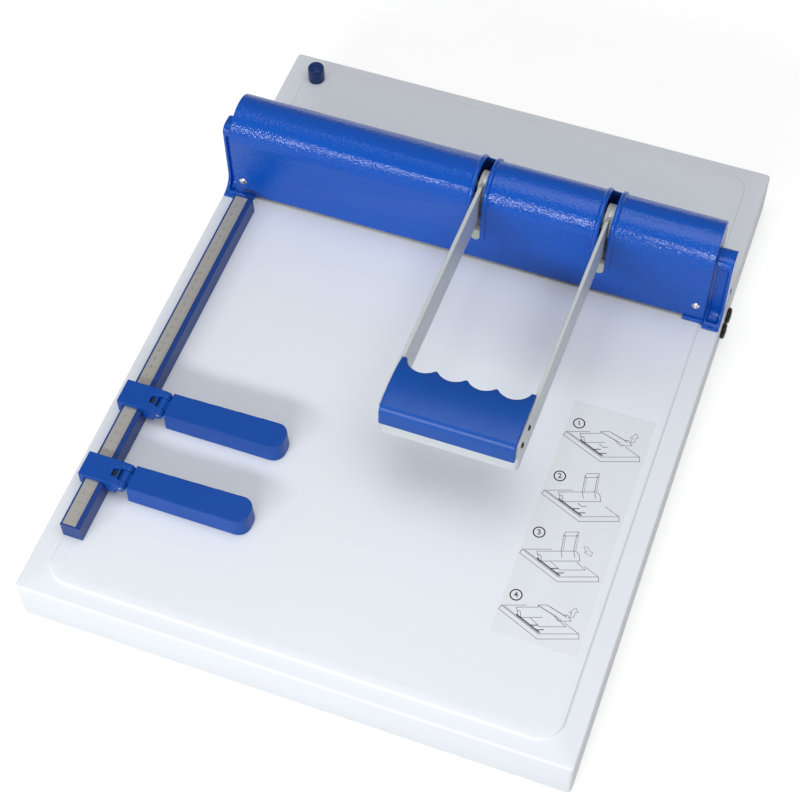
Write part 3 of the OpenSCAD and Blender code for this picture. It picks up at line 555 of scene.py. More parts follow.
@dataclass(frozen=True)
class StandIn:
    """A piece that stands in for a CAD node."""

    node: str
    name: str
    body: str
    finish: Finish

    def dress(self, mesh: bpy.types.Mesh) -> None:
        """Puts the piece's mesh into the scene and hides the node."""
        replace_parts(new_piece(self.name, mesh, self.body, self.finish), self.node)

    def roll(self, width_mm: float, segments: int = 3, shortest_mm: float = 1.2) -> None:
        """Gives the node's own surface softly rolled edges.

        Args:
            width_mm: Width of the rolled edges.
            segments: Facets across a rolled edge.
            shortest_mm: Sharp edges shorter than this, such as small holes', stay sharp.
        """
        bm = merged(self.node)
        bmesh.ops.dissolve_limit(bm, angle_limit=math.radians(FLAT_DEG), verts=bm.verts,
                                 edges=bm.edges)
        weight = bm.edges.layers.float.new("bevel_weight_edge")
        least = math.radians(ROLLED_SHARP_DEG)
        for edge in bm.edges:
            sharp = len(edge.link_faces) == 2 and edge.calc_face_angle() > least
            edge[weight] = float(sharp and edge.calc_length() > shortest_mm * MM)
        raw = placed(self.name + "_raw", from_bmesh(self.name + "_raw", bm, RAW_SHARP_DEG))
        roll = raw.modifiers.new("roll", "BEVEL")
        roll.width = width_mm * MM
        roll.segments = segments
        roll.limit_method = "WEIGHT"
        roll.use_clamp_overlap = False
        roll.harden_normals = True
        self.dress(baked(raw, self.name))

    def mould(self, cell_mm: float, passes: int) -> None:
        """Gives the node the soft edges and fillets of a moulding.

        Args:
            cell_mm: Size of the cells that the skin is rebuilt with.
            passes: Smoothing passes, which set how soft the edges are.
        """
        raw = placed(self.name + "_raw",
                     from_bmesh(self.name + "_raw", merged(self.node), RAW_SHARP_DEG))
        skin = raw.modifiers.new("skin", "REMESH")
        skin.mode = "VOXEL"
        skin.voxel_size = cell_mm * MM
        skin.use_smooth_shade = True
        soften = raw.modifiers.new("soften", "SMOOTH")
        soften.factor = 0.5
        soften.iterations = passes
        thin = raw.modifiers.new("thin", "DECIMATE")
        thin.ratio = 0.5
        self.dress(baked(raw, self.name))


def quarter(steps: int) -> list[float]:
    """Returns the angles from 0 to 90 degrees, in radians, that end a number of equal steps."""
    return [math.radians(90.0 * i / steps) for i in range(steps + 1)]


def eased(s: float) -> float:
    """Returns a smooth step from 0 to 1."""
    return s * s * (3 - 2 * s)


def band(bm: bmesh.types.BMesh, low: Sequence[bmesh.types.BMVert],
         high: Sequence[bmesh.types.BMVert]) -> None:
    """Joins two closed rings with a band of faces.

    Args:
        bm: The bmesh to add to.
        low: One ring's vertices.
        high: The other's, as many, or one alone that the band closes on.
    """
    for j in range(len(low)):
        k = (j + 1) % len(low)
        top = [high[0]] if len(high) == 1 else [high[k], high[j]]
        bm.faces.new([low[j], low[k], *top])


def block(size: Sequence[float], centre: Sequence[float], taper: float = 1.0,
          turn: float = 0.0) -> bpy.types.Object:
    """Makes a block to cut with.

    Args:
        size: Its size along each axis in millimetres.
        centre: Its centre in millimetres.
        taper: Share of its length along X that is left at the bottom.
        turn: Turn about Z in degrees.

    Returns:
        The block.
    """
    bm = bmesh.new()
    bmesh.ops.create_cube(bm, size=1.0)
    bmesh.ops.scale(bm, vec=[c * MM for c in size], verts=bm.verts)
    for v in bm.verts:
        if v.co.z < 0:
            v.co.x *= taper
    bmesh.ops.translate(bm, vec=[c * MM for c in centre], verts=bm.verts)
    about = Matrix.Rotation(math.radians(turn), 3, "Z")
    bmesh.ops.rotate(bm, cent=(0, 0, 0), matrix=about, verts=bm.verts)
    return placed("cutter", from_bmesh("cutter", bm))


def ribbon(bm: bmesh.types.BMesh, points: Sequence[tuple[float, float]], width: float,
           z: float) -> None:
    """Adds a flat printed line through points, all in millimetres.

    Args:
        bm: The bmesh to add to.
        points: The line's corners.
        width: The line's width.
        z: The height it lies at.
    """
    for (ax, ay), (bx, by) in zip(points, points[1:]):
        length = math.hypot(bx - ax, by - ay)
        ux, uy = (bx - ax) / length * width / 2, (by - ay) / length * width / 2
        ring = [(ax - ux - uy, ay - uy + ux), (ax - ux + uy, ay - uy - ux),
                (bx + ux + uy, by + uy - ux), (bx + ux - uy, by + uy + ux)]
        bm.faces.new([bm.verts.new((x * MM, y * MM, z * MM)) for x, y in ring])


def digits(bm: bmesh.types.BMesh, text: str, at: Point, height: float, turn: float,
           bold: float = 0.0) -> None:
    """Adds a number as flat print.

    Args:
        bm: The bmesh to add to.
        text: The number.
        at: Its centre in millimetres.
        height: Height of the figures in millimetres.
        turn: Turn about Z in degrees.
        bold: Millimetres that each stroke's edge moves outwards.
    """
    curve = bpy.data.curves.new("figure", "FONT")
    curve.body = text
    curve.size = height * MM / FIGURE_HEIGHT
    curve.align_x = "CENTER"
    curve.align_y = "CENTER"
    curve.resolution_u = 3
    curve.offset = bold * MM
    mesh = baked(placed("figure", curve), "figure")
    about = Matrix.Rotation(math.radians(turn), 4, "Z")
    mesh.transform(Matrix.Translation([c * MM for c in at]) @ about)
    bm.from_mesh(mesh)
    bpy.data.meshes.remove(mesh)
    bpy.data.curves.remove(curve)


# ---------------- geometry nodes


class GeometryTree(NodeTree):
    """A Geometry Nodes tree with named inputs."""

    def __init__(self, name: str, sizes: Mapping[str, tuple[str, Any]]) -> None:
        """Starts a tree.

        Args:
            name: The tree's name.
            sizes: Input name to (socket type, default value).
        """
        self.tree = bpy.data.node_groups.new(name, "GeometryNodeTree")
        face = self.tree.interface
        for way in ("INPUT", "OUTPUT"):
            face.new_socket("Geometry", in_out=way, socket_type="NodeSocketGeometry")
        for label, (kind, value) in sizes.items():
            made = face.new_socket(label, in_out="INPUT", socket_type=kind)
            if value is not None:
                made.default_value = value
        self.entry = self.add("NodeGroupInput", {}, {})

    def node(self, kind: str, settings: Mapping[str, Any], inputs: Mapping[Any, Any],
             output: int | str = 0) -> bpy.types.NodeSocket:
        """Adds a node and returns one of its outputs."""
        return self.add(kind, settings, inputs).outputs[output]

    def size(self, label: str) -> bpy.types.NodeSocket:
        """Returns a named input."""
        return self.entry.outputs[label]

    def finish(self, geometry: bpy.types.NodeSocket, material: bpy.types.Material) -> None:
        """Realizes the instances, sets the material and ends the tree.

        Args:
            geometry: What the tree has made.
            material: Its material.
        """
        real = self.node("GeometryNodeRealizeInstances", {}, {"Geometry": geometry})
        dressed = self.node("GeometryNodeSetMaterial", {}, {"Geometry": real,
                                                            "Material": material})
        self.add("NodeGroupOutput", {}, {"Geometry": dressed})

    def run(self, name: str, values: Mapping[str, Any],
            mesh: bpy.types.Mesh | None = None) -> bpy.types.Mesh:
        """Runs the tree and returns its result as a plain mesh.

        Args:
            name: The result's name.
            values: Input name to value.
            mesh: The mesh that enters the tree, or None for an empty one.

        Returns:
            The plain mesh.
        """
        holder = placed(name, mesh or bpy.data.meshes.new(name))
        modifier = holder.modifiers.new("nodes", "NODES")
        modifier.node_group = self.tree
        for item in self.tree.interface.items_tree:
            if item.item_type == "SOCKET" and item.in_out == "INPUT" and item.name in values:
                modifier[item.identifier] = values[item.name]
        return baked(holder, name)


@dataclass(frozen=True)
class CrossHead:
    """A domed screw head with a cross recess, sizes in millimetres."""

    radius: float
    height: float
    around: int = 32
    rings: int = 8
    recess_length: float = 1.15  # of the radius
    recess_width: float = 0.24  # of the radius
    recess_bottom: float = 0.45  # of the recess's length at its top
    recess_lift: float = 0.98  # of the height

    def dome(self) -> bmesh.types.BMesh:
        """Returns the closed dome, before it is cut."""
        bm = bmesh.new()
        rings = []
        for a in quarter(self.rings)[:-1]:
            r = self.radius * math.cos(a) * MM
            turns = [2 * math.pi * j / self.around for j in range(self.around)]
            rings.append([bm.verts.new((r * math.cos(b), r * math.sin(b),
                                        self.height * math.sin(a) * MM)) for b in turns])
        rings.append([bm.verts.new((0, 0, self.height * MM))])
        for low, high in zip(rings, rings[1:]):
            band(bm, low, high)
        bm.faces.new(list(reversed(rings[0])))
        return bm

    def mesh(self) -> bpy.types.Mesh:
        """Returns the head, standing on the origin along +Z."""
        head = placed("head", from_bmesh("head", self.dome(), CARVED_SHARP_DEG))
        size = (self.radius * self.recess_length, self.radius * self.recess_width, self.height)
        centre = (0.0, 0.0, self.height * self.recess_lift)
        return carved(head, [block(size, centre, self.recess_bottom, turn)
                             for turn in (0.0, 90.0)], "head")


class ScrewRow:
    """A Geometry Nodes tree that sets a screw head on every point, facing one way."""

    def __init__(self, finish: Finish) -> None:
        """Builds the tree.

        Args:
            finish: The heads' finish.
        """
        g = GeometryTree("screw_row_" + finish.name, {
            "Head": ("NodeSocketObject", None), "Facing": ("NodeSocketRotation", None),
            "Seed": ("NodeSocketInt", 7)})
        head = g.node("GeometryNodeObjectInfo", {}, {"Object": g.size("Head")}, "Geometry")
        spin = g.node("FunctionNodeRandomValue", {"data_type": "FLOAT"},
                      {2: 0.0, 3: math.pi, "Seed": g.size("Seed")}, 1)
        turn = g.node("ShaderNodeCombineXYZ", {}, {"Z": spin})
        about = g.node("FunctionNodeEulerToRotation", {}, {"Euler": turn})
        both = g.node("FunctionNodeRotateRotation", {"rotation_space": "LOCAL"},
                      {"Rotation": g.size("Facing"), "Rotate By": about})
        heads = g.node("GeometryNodeInstanceOnPoints", {}, {
            "Points": g.size("Geometry"), "Instance": head, "Rotation": both})
        g.finish(heads, finish.material())
        self.tree = g

    def make(self, name: str, head: bpy.types.Mesh, points: Iterable[Point],
             facing: Point) -> bpy.types.Mesh:
        """Sets heads on points.

        Args:
            name: The result's name.
            head: The head's mesh.
            points: Seats in millimetres.
            facing: Euler turn in degrees that takes +Z to the way the heads face.

        Returns:
            One mesh with all the heads.
        """
        seats = bpy.data.meshes.new(name + "_seats")
        seats.from_pydata([tuple(c * MM for c in p) for p in points], [], [])
        holder = placed("head", head)
        mesh = self.tree.run(name, {"Head": holder,
                                    "Facing": tuple(math.radians(a) for a in facing)}, seats)
        bpy.data.objects.remove(holder)
        return mesh


class GraduationRow:
    """A Geometry Nodes tree that prints evenly pitched ticks along Y."""

    def __init__(self, finish: Finish) -> None:
        """Builds the tree.

        Args:
            finish: The ticks' finish.
        """
        g = GeometryTree("graduations", {
            "Count": ("NodeSocketInt", 10), "Pitch": ("NodeSocketFloat", 0.001),
            "Length": ("NodeSocketFloat", 0.003), "Width": ("NodeSocketFloat", 0.0002),
            "Start": ("NodeSocketVector", None)})
        step = g.node("ShaderNodeCombineXYZ", {}, {"Y": g.size("Pitch")})
        row = g.node("GeometryNodeMeshLine", {"mode": "OFFSET"}, {
            "Count": g.size("Count"), "Start Location": g.size("Start"), "Offset": step})
        tick = g.node("GeometryNodeMeshGrid", {}, {
            "Size X": g.size("Length"), "Size Y": g.size("Width"), "Vertices X": 2,
            "Vertices Y": 2})
        half = g.node("ShaderNodeMath", {"operation": "MULTIPLY"}, {0: g.size("Length"), 1: -0.5})
        shift = g.node("ShaderNodeCombineXYZ", {}, {"X": half})
        moved = g.node("GeometryNodeTransform", {}, {"Geometry": tick, "Translation": shift})
        ticks = g.node("GeometryNodeInstanceOnPoints", {}, {"Points": row, "Instance": moved})
        g.finish(ticks, finish.material())
        self.tree = g

    def make(self, name: str, count: int, pitch: float, length: float, width: float,
             start: Point) -> bpy.types.Mesh:
        """Prints one row of ticks, all sizes in millimetres.

        Args:
            name: The result's name.
            count: Number of ticks.
            pitch: Distance between ticks.
            length: Length of a tick, to the left of its start.
            width: Width of a tick.
            start: Right end of the first tick.

        Returns:
            The ticks.
        """
        return self.tree.run(name, {"Count": count, "Pitch": pitch * MM, "Length": length * MM,
                                    "Width": width * MM,
                                    "Start": tuple(c * MM for c in start)})


# ---------------- sub-assemblies


@dataclass
class Table:
    """The folded steel table with its raised working panel, sizes in millimetres."""

    width: float = 530.0
    depth: float = 700.0
    bottom: float = 4.0
    rim: float = 55.0
    rise: float = 1.8
    sheet: float = 1.5
    corner: float = 4.0
    least_corner: float = 0.6
    corner_steps: int = 10
    flange: float = 26.0
    panel: tuple[float, float, float, float] = (490.0, 673.0, 2.5, 24.0)
    roll: float = 2.2
    slope: float = 2.4
    foot: float = 0.8
    inner_foot: float = 0.2
    flat: float = 12.0
    seat_gap: float = 0.3
    seat_low: float = 8.0
    seat_high: float = 10.0

    def ring(self, bm: bmesh.types.BMesh, row: Sequence[float]) -> list[bmesh.types.BMVert]:
        """Adds one rounded rectangle of vertices.

        Args:
            bm: The bmesh to add to.
            row: Its width, depth, centre along Y, corner radius and height.

        Returns:
            The ring's vertices, counter-clockwise.
        """
        w, d, y, r, z = row
        points = []
        for sx, sy, start in ((1, -1, -90), (1, 1, 0), (-1, 1, 90), (-1, -1, 180)):
            for i in range(self.corner_steps + 1):
                a = math.radians(start + 90.0 / self.corner_steps * i)
                points.append((sx * (w / 2 - r) + r * math.cos(a),
                               y + sy * (d / 2 - r) + r * math.sin(a)))
        return [bm.verts.new((px * MM, py * MM, z * MM)) for px, py in points]

    def shell(self) -> bpy.types.Mesh:
        """Lofts the outer skin, the folded flange and the inner skin into one closed shell."""
        pw, pd, py, pr = self.panel
        top, under = self.rim + self.rise, self.rim - self.sheet
        rows: list[tuple[float, ...]] = []

        def wall(inset: float, z: float) -> None:
            """Adds a ring at a distance inside the walls."""
            rows.append((self.width - 2 * inset, self.depth - 2 * inset, 0.0,
                         max(self.corner - inset, self.least_corner), z))

        def raised(inset: float, z: float) -> None:
            """Adds a ring at a distance inside the panel's foot."""
            rows.append((pw - 2 * inset, pd - 2 * inset, py, pr - inset, z))

        wall(self.flange, self.bottom + self.sheet)
        wall(self.flange, self.bottom)
        for a in quarter(4):
            wall(self.roll * (1 - math.sin(a)), self.bottom + self.roll * (1 - math.cos(a)))
        for a in quarter(6):
            wall(self.roll * (1 - math.cos(a)), self.rim - self.roll * (1 - math.sin(a)))
        for i in range(9):
            raised(self.slope * i / 8 - self.foot, self.rim + self.rise * eased(i / 8))
        raised(self.flat, top)
        skin = len(rows)
        raised(self.flat, top - self.sheet)
        for i in range(5):
            s = 1 - i / 4
            raised(self.slope * s + self.inner_foot, under + self.rise * eased(s))
        wall(self.sheet, under)
        wall(self.sheet, self.bottom + self.sheet)
        bm = bmesh.new()
        rings = [self.ring(bm, row) for row in rows]
        for n in range(1, len(rings)):
            if n != skin:
                band(bm, rings[n - 1], rings[n])
        band(bm, rings[-1], rings[0])
        bm.faces.new(rings[skin - 1])
        bm.faces.new(list(reversed(rings[skin])))
        return from_bmesh("table", bm, CARVED_SHARP_DEG)

    def build(self) -> None:
        """Cuts the seat of the creasing strip and dresses the table."""
        low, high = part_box("creasing_matrix")
        low = (low[0] / MM - self.seat_gap, low[1] / MM - self.seat_gap, self.rim - self.seat_low)
        high = (high[0] / MM + self.seat_gap, high[1] / MM + self.seat_gap,
                self.rim + self.seat_high)
        seat = block([b - a for a, b in zip(low, high)], [(a + b) / 2 for a, b in zip(low, high)])
        mesh = carved(placed("table", self.shell()), [seat], "table")
        StandIn("base_shell", "table_top", "table", WHITE).dress(mesh)


@dataclass
class PressHead:
    """The cover, its brackets and the screws that hold it."""

    sheet_roll: float = 0.45
    sheet_segments: int = 2
    sheet_shortest: float = 2.0
    casting_cell: float = 0.8
    casting_passes: int = 5
    screw: CrossHead = CrossHead(4.2, 2.4)
    screw_inset: float = 4.0

    def build(self) -> None:
        """Rolls the cover's edges, softens the brackets and sets the cross-head screws."""
        StandIn("cover", "cover_sheet", "table", BLUE).roll(
            self.sheet_roll, self.sheet_segments, self.sheet_shortest)
        for side in ("left", "right"):
            StandIn(side + "_bracket", side + "_casting", "table", BLUE).mould(
                self.casting_cell, self.casting_passes)
        low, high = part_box("cover_screws")
        z = (low[2] + high[2]) / 2 / MM
        ends = (("front", low[1] / MM + self.screw.height, 90.0),
                ("rear", high[1] / MM - self.screw.height, -90.0))
        xs = (low[0] / MM + self.screw_inset, high[0] / MM - self.screw_inset)
        row = ScrewRow(ZINC)
        head = self.screw.mesh()
        for end, y, turn in ends:
            name = end + "_cover_screws"
            mesh = row.make(name, head, [(x, y, z) for x in xs], (turn, 0.0, 0.0))
            StandIn("cover_screws", name, "table", ZINC).dress(mesh)


@dataclass
class Lever:
    """The bent bar and the moulded grip."""

    bar_roll: float = 0.6
    grip_cell: float = 0.8
    grip_passes: int = 9

    def build(self) -> None:
        """Rolls the bar's edges and softens the grip."""
        StandIn("handle_frame", "lever_bar", "lever", BAR).roll(self.bar_roll)
        StandIn("handle_grip", "hand_grip", "lever", GRIP).mould(self.grip_cell, self.grip_passes)


@dataclass
class GuideRail:
    """The rail, its scale and the two flip-up stops, sizes in millimetres."""

    rail_roll: float = 0.6
    rail_segments: int = 2
    cell: float = 0.5
    slider_passes: int = 4
    arm_passes: int = 8
    margin: float = 5.0
    ticks: tuple[tuple[float, float, float], ...] = (  # pitch, length and width
        (1.0, 2.2, 0.16), (5.0, 3.4, 0.16), (10.0, 4.6, 0.24))
    tick_edge: float = 0.4
    figure: float = 2.6
    figure_edge: float = 7.6

    def build(self) -> None:
        """Rolls the rail's edges, softens the stops and prints the scale."""
        StandIn("guide_rail", "rail_body", "table", NAVY).roll(self.rail_roll, self.rail_segments)
        for end in ("front", "rear"):
            StandIn(end + "_slider", end + "_slider_block", end + "_slide", PLASTIC).mould(
                self.cell, self.slider_passes)
            StandIn(end + "_stop_arm", end + "_arm_moulding", end + "_arm", PLASTIC).mould(
                self.cell, self.arm_passes)
        self.scale()

    def scale(self) -> None:
        """Prints millimetre ticks and centimetre figures on the scale strip."""
        low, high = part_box("rail_scale")
        right, top = high[0] / MM, high[2] / MM + PRINT_LIFT_MM
        start = low[1] / MM + self.margin
        length = int((high[1] - low[1]) / MM - 2 * self.margin)
        rows = GraduationRow(SCALE_INK)
        bm = bmesh.new()
        for pitch, long, wide in self.ticks:
            ticks = rows.make("ticks", int(length / pitch) + 1, pitch, long, wide,
                              (right - self.tick_edge, start, top))
            bm.from_mesh(ticks)
            bpy.data.meshes.remove(ticks)
        for cm in range(1, int(length / 10) + 1):
            at = (right - self.figure_edge, start + cm * 10, top)
            digits(bm, str(cm), at, self.figure, 90.0)
        new_piece("scale_print", printed("scale_print", bm), "table", SCALE_INK)


# The strokes of the drawings: a relative width, then corners as (across, back to front, height).
# Across and back to front run from 0 to 1 on the drawn table, and height is in mm on paper.
STROKES: Mapping[str, Sequence[Any]] = {
    "table": (
        (1.0, (0, 0, 0), (-0.09, 0.02, -3.0), (-0.03, 1, -5), (1, 1, -5), (1, 1, 0)),
        (1.0, (0.03, 0.05, 0.4), (0.03, 0.96, 0.4)),
        (2.4, (0.05, 0.36, 1.0), (0.05, 0.98, 1.0)),
        (2.0, (0.05, 0.74, 1.2), (0.22, 0.74, 1.2)),
        (2.0, (0.05, 0.9, 1.2), (0.22, 0.9, 1.2)),
        (1.0, (0.03, 0.4, 6.2), (0.09, 0.42, 6.0), (0.09, 0.43, 0))),
    "low": (
        (1.0, (0.62, 0, 0), (0, 0, 0), (0, 1, 0), (1, 1, 0), (1, 0.62, 0)),
        (1.0, (0.62, 0.43, 0), (0.03, 0.43, 0), (0.03, 0.4, 6.2), (0.07, 0.33, 7.4),
         (0.62, 0.33, 7.4)),
        (1.0, (0.62, 0.33, 7.4), (0.66, 0.3, 8.6), (0.88, 0.3, 8.6)),
        (1.0, (0.64, 0.3, 8.6), (0.7, 0.74, 9.6)),
        (0.7, (0.69, 0.3, 7.0), (0.74, 0.72, 8.0)),
        (1.0, (0.88, 0.3, 8.6), (0.94, 0.74, 9.6)),
        (0.7, (0.93, 0.3, 7.0), (0.98, 0.72, 8.0)),
        (1.0, (0.66, 0.72, 9.4), (0.68, 0.82, 7.4), (0.99, 0.82, 7.4), (1.01, 0.7, 10.0),
         (0.92, 0.7, 10.0)),
        (1.0, (1.0, 0.42, 0), (1.0, 0.55, 0))),
    "high": (
        (1.0, (0.74, 0, 0), (0, 0, 0), (0, 1, 0), (1, 1, 0), (1, 0.62, 0)),
        (1.0, (1.06, 0.43, 0), (0.03, 0.43, 0), (0.03, 0.4, 6.2), (0.07, 0.33, 7.4),
         (1.06, 0.33, 7.4), (1.08, 0.4, 5.8), (1.06, 0.43, 0)),
        (1.0, (0.68, 0.36, 1.5), (0.68, 0.34, 8.0), (0.78, 0.34, 25.0)),
        (0.7, (0.73, 0.34, 8.0), (0.82, 0.34, 24.0)),
        (1.0, (1.0, 0.36, 1.5), (1.0, 0.34, 8.0), (1.1, 0.34, 25.0)),
        (0.7, (1.05, 0.34, 8.0), (1.14, 0.34, 24.0)),
        (1.0, (0.76, 0.34, 23.5), (0.82, 0.34, 27.6), (1.16, 0.34, 27.6), (1.12, 0.34, 23.5),
         (0.76, 0.34, 23.5))),
    "paper": ((1.0, (0.3, 0.46, 0.2), (0.26, 0.76, 0.2), (0.9, 0.76, 0.2), (0.94, 0.48, 0.2)),),
    "mark": ((1.2, (0.42, 0.5, 0), (0.4, 0.62, 0), (0.52, 0.62, 0)),)}


class Step(Enum):
    """The steps on the instruction sheet.

    Each value holds the number, the lever's pose, what lies on the table, the arrow's place and
    way up or down, the Y of the number and the Y of the drawing's rear left corner.
    """

    OPEN = ("1", "low", "mark", (1.41, 0.42, 1.0), -13.0, -26.1)
    LOAD = ("2", "high", "mark", None, -75.1, -94.7)
    PRESS = ("3", "high", "paper", (1.47, 0.22, -1.0), -139.0, -161.1)
    RELEASE = ("4", "low", "paper", (1.41, 0.42, 1.0), -207.4, -221.6)


@dataclass
class InstructionSheet:
    """A film with four numbered line drawings of the steps, sizes in millimetres."""

    left: float = 155.5
    right: float = 236.0
    front: float = -249.0
    back: float = 11.0
    level: float = 56.8
    film: float = 0.12
    glue: float = 0.01
    cells: tuple[int, int] = (16, 52)
    margin: float = 2.2
    line: float = 0.5
    ring: float = 5.3
    ring_weight: float = 2.2
    ring_inset: float = 11.2
    figure: float = 5.4
    bold: float = 0.16
    across: float = 35.9
    lean: tuple[float, float] = (31.8, 28.5)
    turn: float = 19.5
    arrow_weight: float = 0.8
    arrow_lean: float = 0.012
    arrow_lift: float = 4.0
    arrow: tuple[tuple[float, float], ...] = (
        (-0.045, -4.6), (-0.045, 0.6), (-0.11, 0.6), (0.0, 5.4), (0.11, 0.6), (0.045, 0.6),
        (0.045, -4.6), (-0.045, -4.6))

    def build(self) -> None:
        """Lays the film and prints the steps."""
        bm = bmesh.new()
        bmesh.ops.create_grid(bm, x_segments=self.cells[0], y_segments=self.cells[1], size=0.5)
        for v in bm.verts:
            v.co = Vector(((self.left + (v.co.x + 0.5) * (self.right - self.left)) * MM,
                           (self.front + (v.co.y + 0.5) * (self.back - self.front)) * MM,
                           (self.level + self.film) * MM))
        edge = bmesh.ops.extrude_edge_only(bm, edges=[e for e in bm.edges if e.is_boundary])
        for v in edge["geom"]:
            if isinstance(v, bmesh.types.BMVert):
                v.co.z = (self.level + self.glue) * MM
        new_piece("sheet_film", from_bmesh("sheet_film", bm), "table", FILM)
        bm = bmesh.new()
        for step in Step:
            self.draw(bm, step)
        new_piece("sheet_print", printed("sheet_print", bm), "table", INK)

    def place(self, corner: float, u: float, v: float, h: float) -> tuple[float, float]:
        """Projects a point of the drawn machine onto the sheet.

        Args:
            corner: Y of the drawing's rear left corner.
            u: Place across the drawn table, 0 to 1.
            v: Place from its back to its front, 0 to 1.
            h: Height in millimetres on paper.

        Returns:
            Millimetres on the sheet.
        """
        a, b = u * self.across + v * self.lean[0], h - v * self.lean[1]
        c, s = math.cos(math.radians(self.turn)), math.sin(math.radians(self.turn))
        return self.left + self.margin + a * c - b * s, corner + a * s + b * c

    def draw(self, bm: bmesh.types.BMesh, step: Step) -> None:
        """Draws one step.

        Args:
            bm: The bmesh of the print.
            step: The step.
        """
        number, lever, load, arrow, y, corner = step.value
        x, z = self.left + self.ring_inset, self.level + self.film + PRINT_LIFT_MM
        ribbon(bm, [(x + self.ring * math.cos(a * math.pi / 16),
                     y + self.ring * math.sin(a * math.pi / 16)) for a in range(33)],
               self.line * self.ring_weight, z)
        digits(bm, number, (x, y, z), self.figure, self.turn, self.bold)
        strokes = [*STROKES["table"], *STROKES[lever], *STROKES[load]]
        if arrow:
            u, v, way = arrow
            strokes.append((self.arrow_weight, *((u + du + self.arrow_lean * dh, v,
                                                  self.arrow_lift + dh * way)
                                                 for du, dh in self.arrow)))
        for weight, *points in strokes:
            ribbon(bm, [self.place(corner, *p) for p in points], self.line * weight, z)


@dataclass
class Knobs:
    """The two domed clamp knobs on the right wall."""

    cell: float = 0.35
    passes: int = 4

    def build(self) -> None:
        """Softens the knobs' rims."""
        for end in ("front", "rear"):
            StandIn(end + "_clamp_knob", end + "_knob_dome", end + "_knob", BLACK).mould(
                self.cell, self.passes)


@dataclass
class Dressing:
    """Gives every CAD node that stays its finish."""

    def build(self) -> None:
        """Assigns a finish to each node by its record slot, with a few exceptions."""
        by_slot = {finish.slot: finish for finish in (
            WHITE, GREY, BLUE, NAVY, PLASTIC, BLACK, BAR, MACHINED, ZINC, BLACK_OXIDE, BRASS,
            SCALE, FOOT, NYLON)}
        # slot_bumpers take the nylon with painted shade; rear_peg takes its own darker blue.
        by_node = {"rear_peg": PEG, "slot_bumpers": BUMPER_PAINTED_SHADE}
        slots = {s["node"]: s["material_slot"] for s in frame["record"]["subparts"]}
        for name, node in frame["nodes"].items():
            finish = by_node.get(name) or by_slot[slots[name]]
            if not node.material_slots:
                node.data.materials.append(None)
            for material_slot in node.material_slots:
                material_slot.material = finish.material()


@dataclass(frozen=True)
class Lamp:
    """A soft rectangular lamp: its place, what it faces, its size in metres and its watts."""

    name: str
    at: Point
    to: Point
    size: tuple[float, float]
    power: float

    def hang(self) -> None:
        """Hangs the lamp in the scene."""
        data = bpy.data.lights.new(self.name, "AREA")
        data.shape = "RECTANGLE"
        data.size, data.size_y = self.size
        data.energy = self.power
        lamp = placed(self.name, data)
        lamp.location = self.at
        ahead = Vector(self.to) - Vector(self.at)
        lamp.rotation_euler = ahead.to_track_quat("-Z", "Y").to_euler()


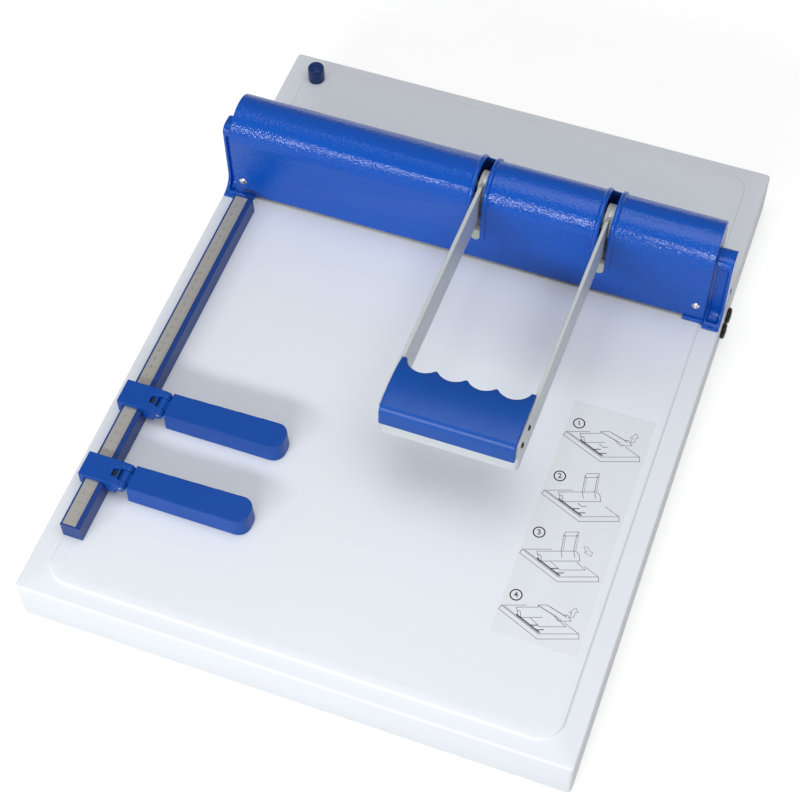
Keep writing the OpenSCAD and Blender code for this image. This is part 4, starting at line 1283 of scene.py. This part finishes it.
@dataclass
class Studio:
    """The floor, the surroundings, the lamps and the camera."""

    floor_grey: float = 0.52
    floor_half: float = 20.0
    glow: float = 0.60
    glow_grain: float = 0.01
    grain_mm: float = 60.0
    fade_from: float = 0.8
    fade_per_metre: float = 0.5
    world: float = 0.30
    lamps: tuple[Lamp, ...] = (
        Lamp("window", (-0.35, -1.9, 0.95), (0.0, 0.17, 0.14), (1.8, 0.24), 31.0),
        Lamp("overhead", (0.32, -0.12, 2.3), (0.02, 0.08, 0.05), (1.6, 2.3), 28.0))
    eye: Point = (0.352256, -0.962919, 1.543447)
    right: Point = (0.939723, 0.341659, -0.013802)
    down: Point = (0.277743, -0.786224, -0.552007)
    ahead: Point = (-0.199450, 0.514899, -0.833726)
    lens: float = 83.4
    sensor: float = 36.0

    def build(self) -> None:
        """Sets up everything that isn't the machine."""
        self.floor()
        self.sky()
        for lamp in self.lamps:
            lamp.hang()
        self.camera()
        bpy.context.scene.view_settings.view_transform = "Standard"

    def floor(self) -> None:
        """Lays the pale floor, which glows a little to the camera and more in the distance."""
        t = ShaderTree("studio_floor")
        camera, glossy, through = (t.node("ShaderNodeLightPath", {}, {}, "Is %s Ray" % kind)
                                   for kind in ("Camera", "Glossy", "Transmission"))
        path = (camera + glossy + through).clamp()
        far = t.node("ShaderNodeVectorMath", {"operation": "LENGTH"}, {0: t.position}, "Value")
        fade = ((far - self.fade_from) * self.fade_per_metre).clamp() * (1.0 - self.glow)
        grain = t.noise(self.grain_mm, 2.0) * self.glow_grain
        diffuse = t.node("ShaderNodeBsdfDiffuse", {}, {"Color": (self.floor_grey,) * 3})
        glow = t.node("ShaderNodeEmission", {}, {"Color": (1.0, 1.0, 1.0),
                                                 "Strength": path * (grain + fade + self.glow)})
        t.end(t.node("ShaderNodeAddShader", {}, {0: diffuse, 1: glow}))
        bm = bmesh.new()
        bmesh.ops.create_grid(bm, x_segments=1, y_segments=1, size=self.floor_half)
        mesh = from_bmesh("floor", bm)
        mesh.materials.append(t.owner)
        placed("floor", mesh)

    def sky(self) -> None:
        """Sets the even white surroundings."""
        world = bpy.data.worlds.new("studio")
        t = ShaderTree("studio", world)
        t.end(t.node("ShaderNodeBackground", {}, {"Color": (1.0, 1.0, 1.0),
                                                 "Strength": self.world}), "World")
        bpy.context.scene.world = world

    def camera(self) -> None:
        """Places the camera where the photograph was taken from."""
        data = bpy.data.cameras.new("camera")
        data.lens = self.lens
        data.sensor_width = self.sensor
        camera = placed("camera", data)
        axes = (Vector(self.right), -Vector(self.down), -Vector(self.ahead))
        turn = Matrix(axes).transposed().to_4x4()
        camera.matrix_world = Matrix.Translation(self.eye) @ turn
        bpy.context.scene.camera = camera


def main() -> None:
    """Builds the machine's pieces in order."""
    logging.basicConfig(level=logging.INFO, format="%(name)s: %(message)s")
    for part in (Dressing(), Table(), PressHead(), Lever(), GuideRail(), InstructionSheet(),
                 Knobs(), Studio()):
        LOG.info("building %s", type(part).__name__)
        part.build()


if __name__ == "__main__":
    main()
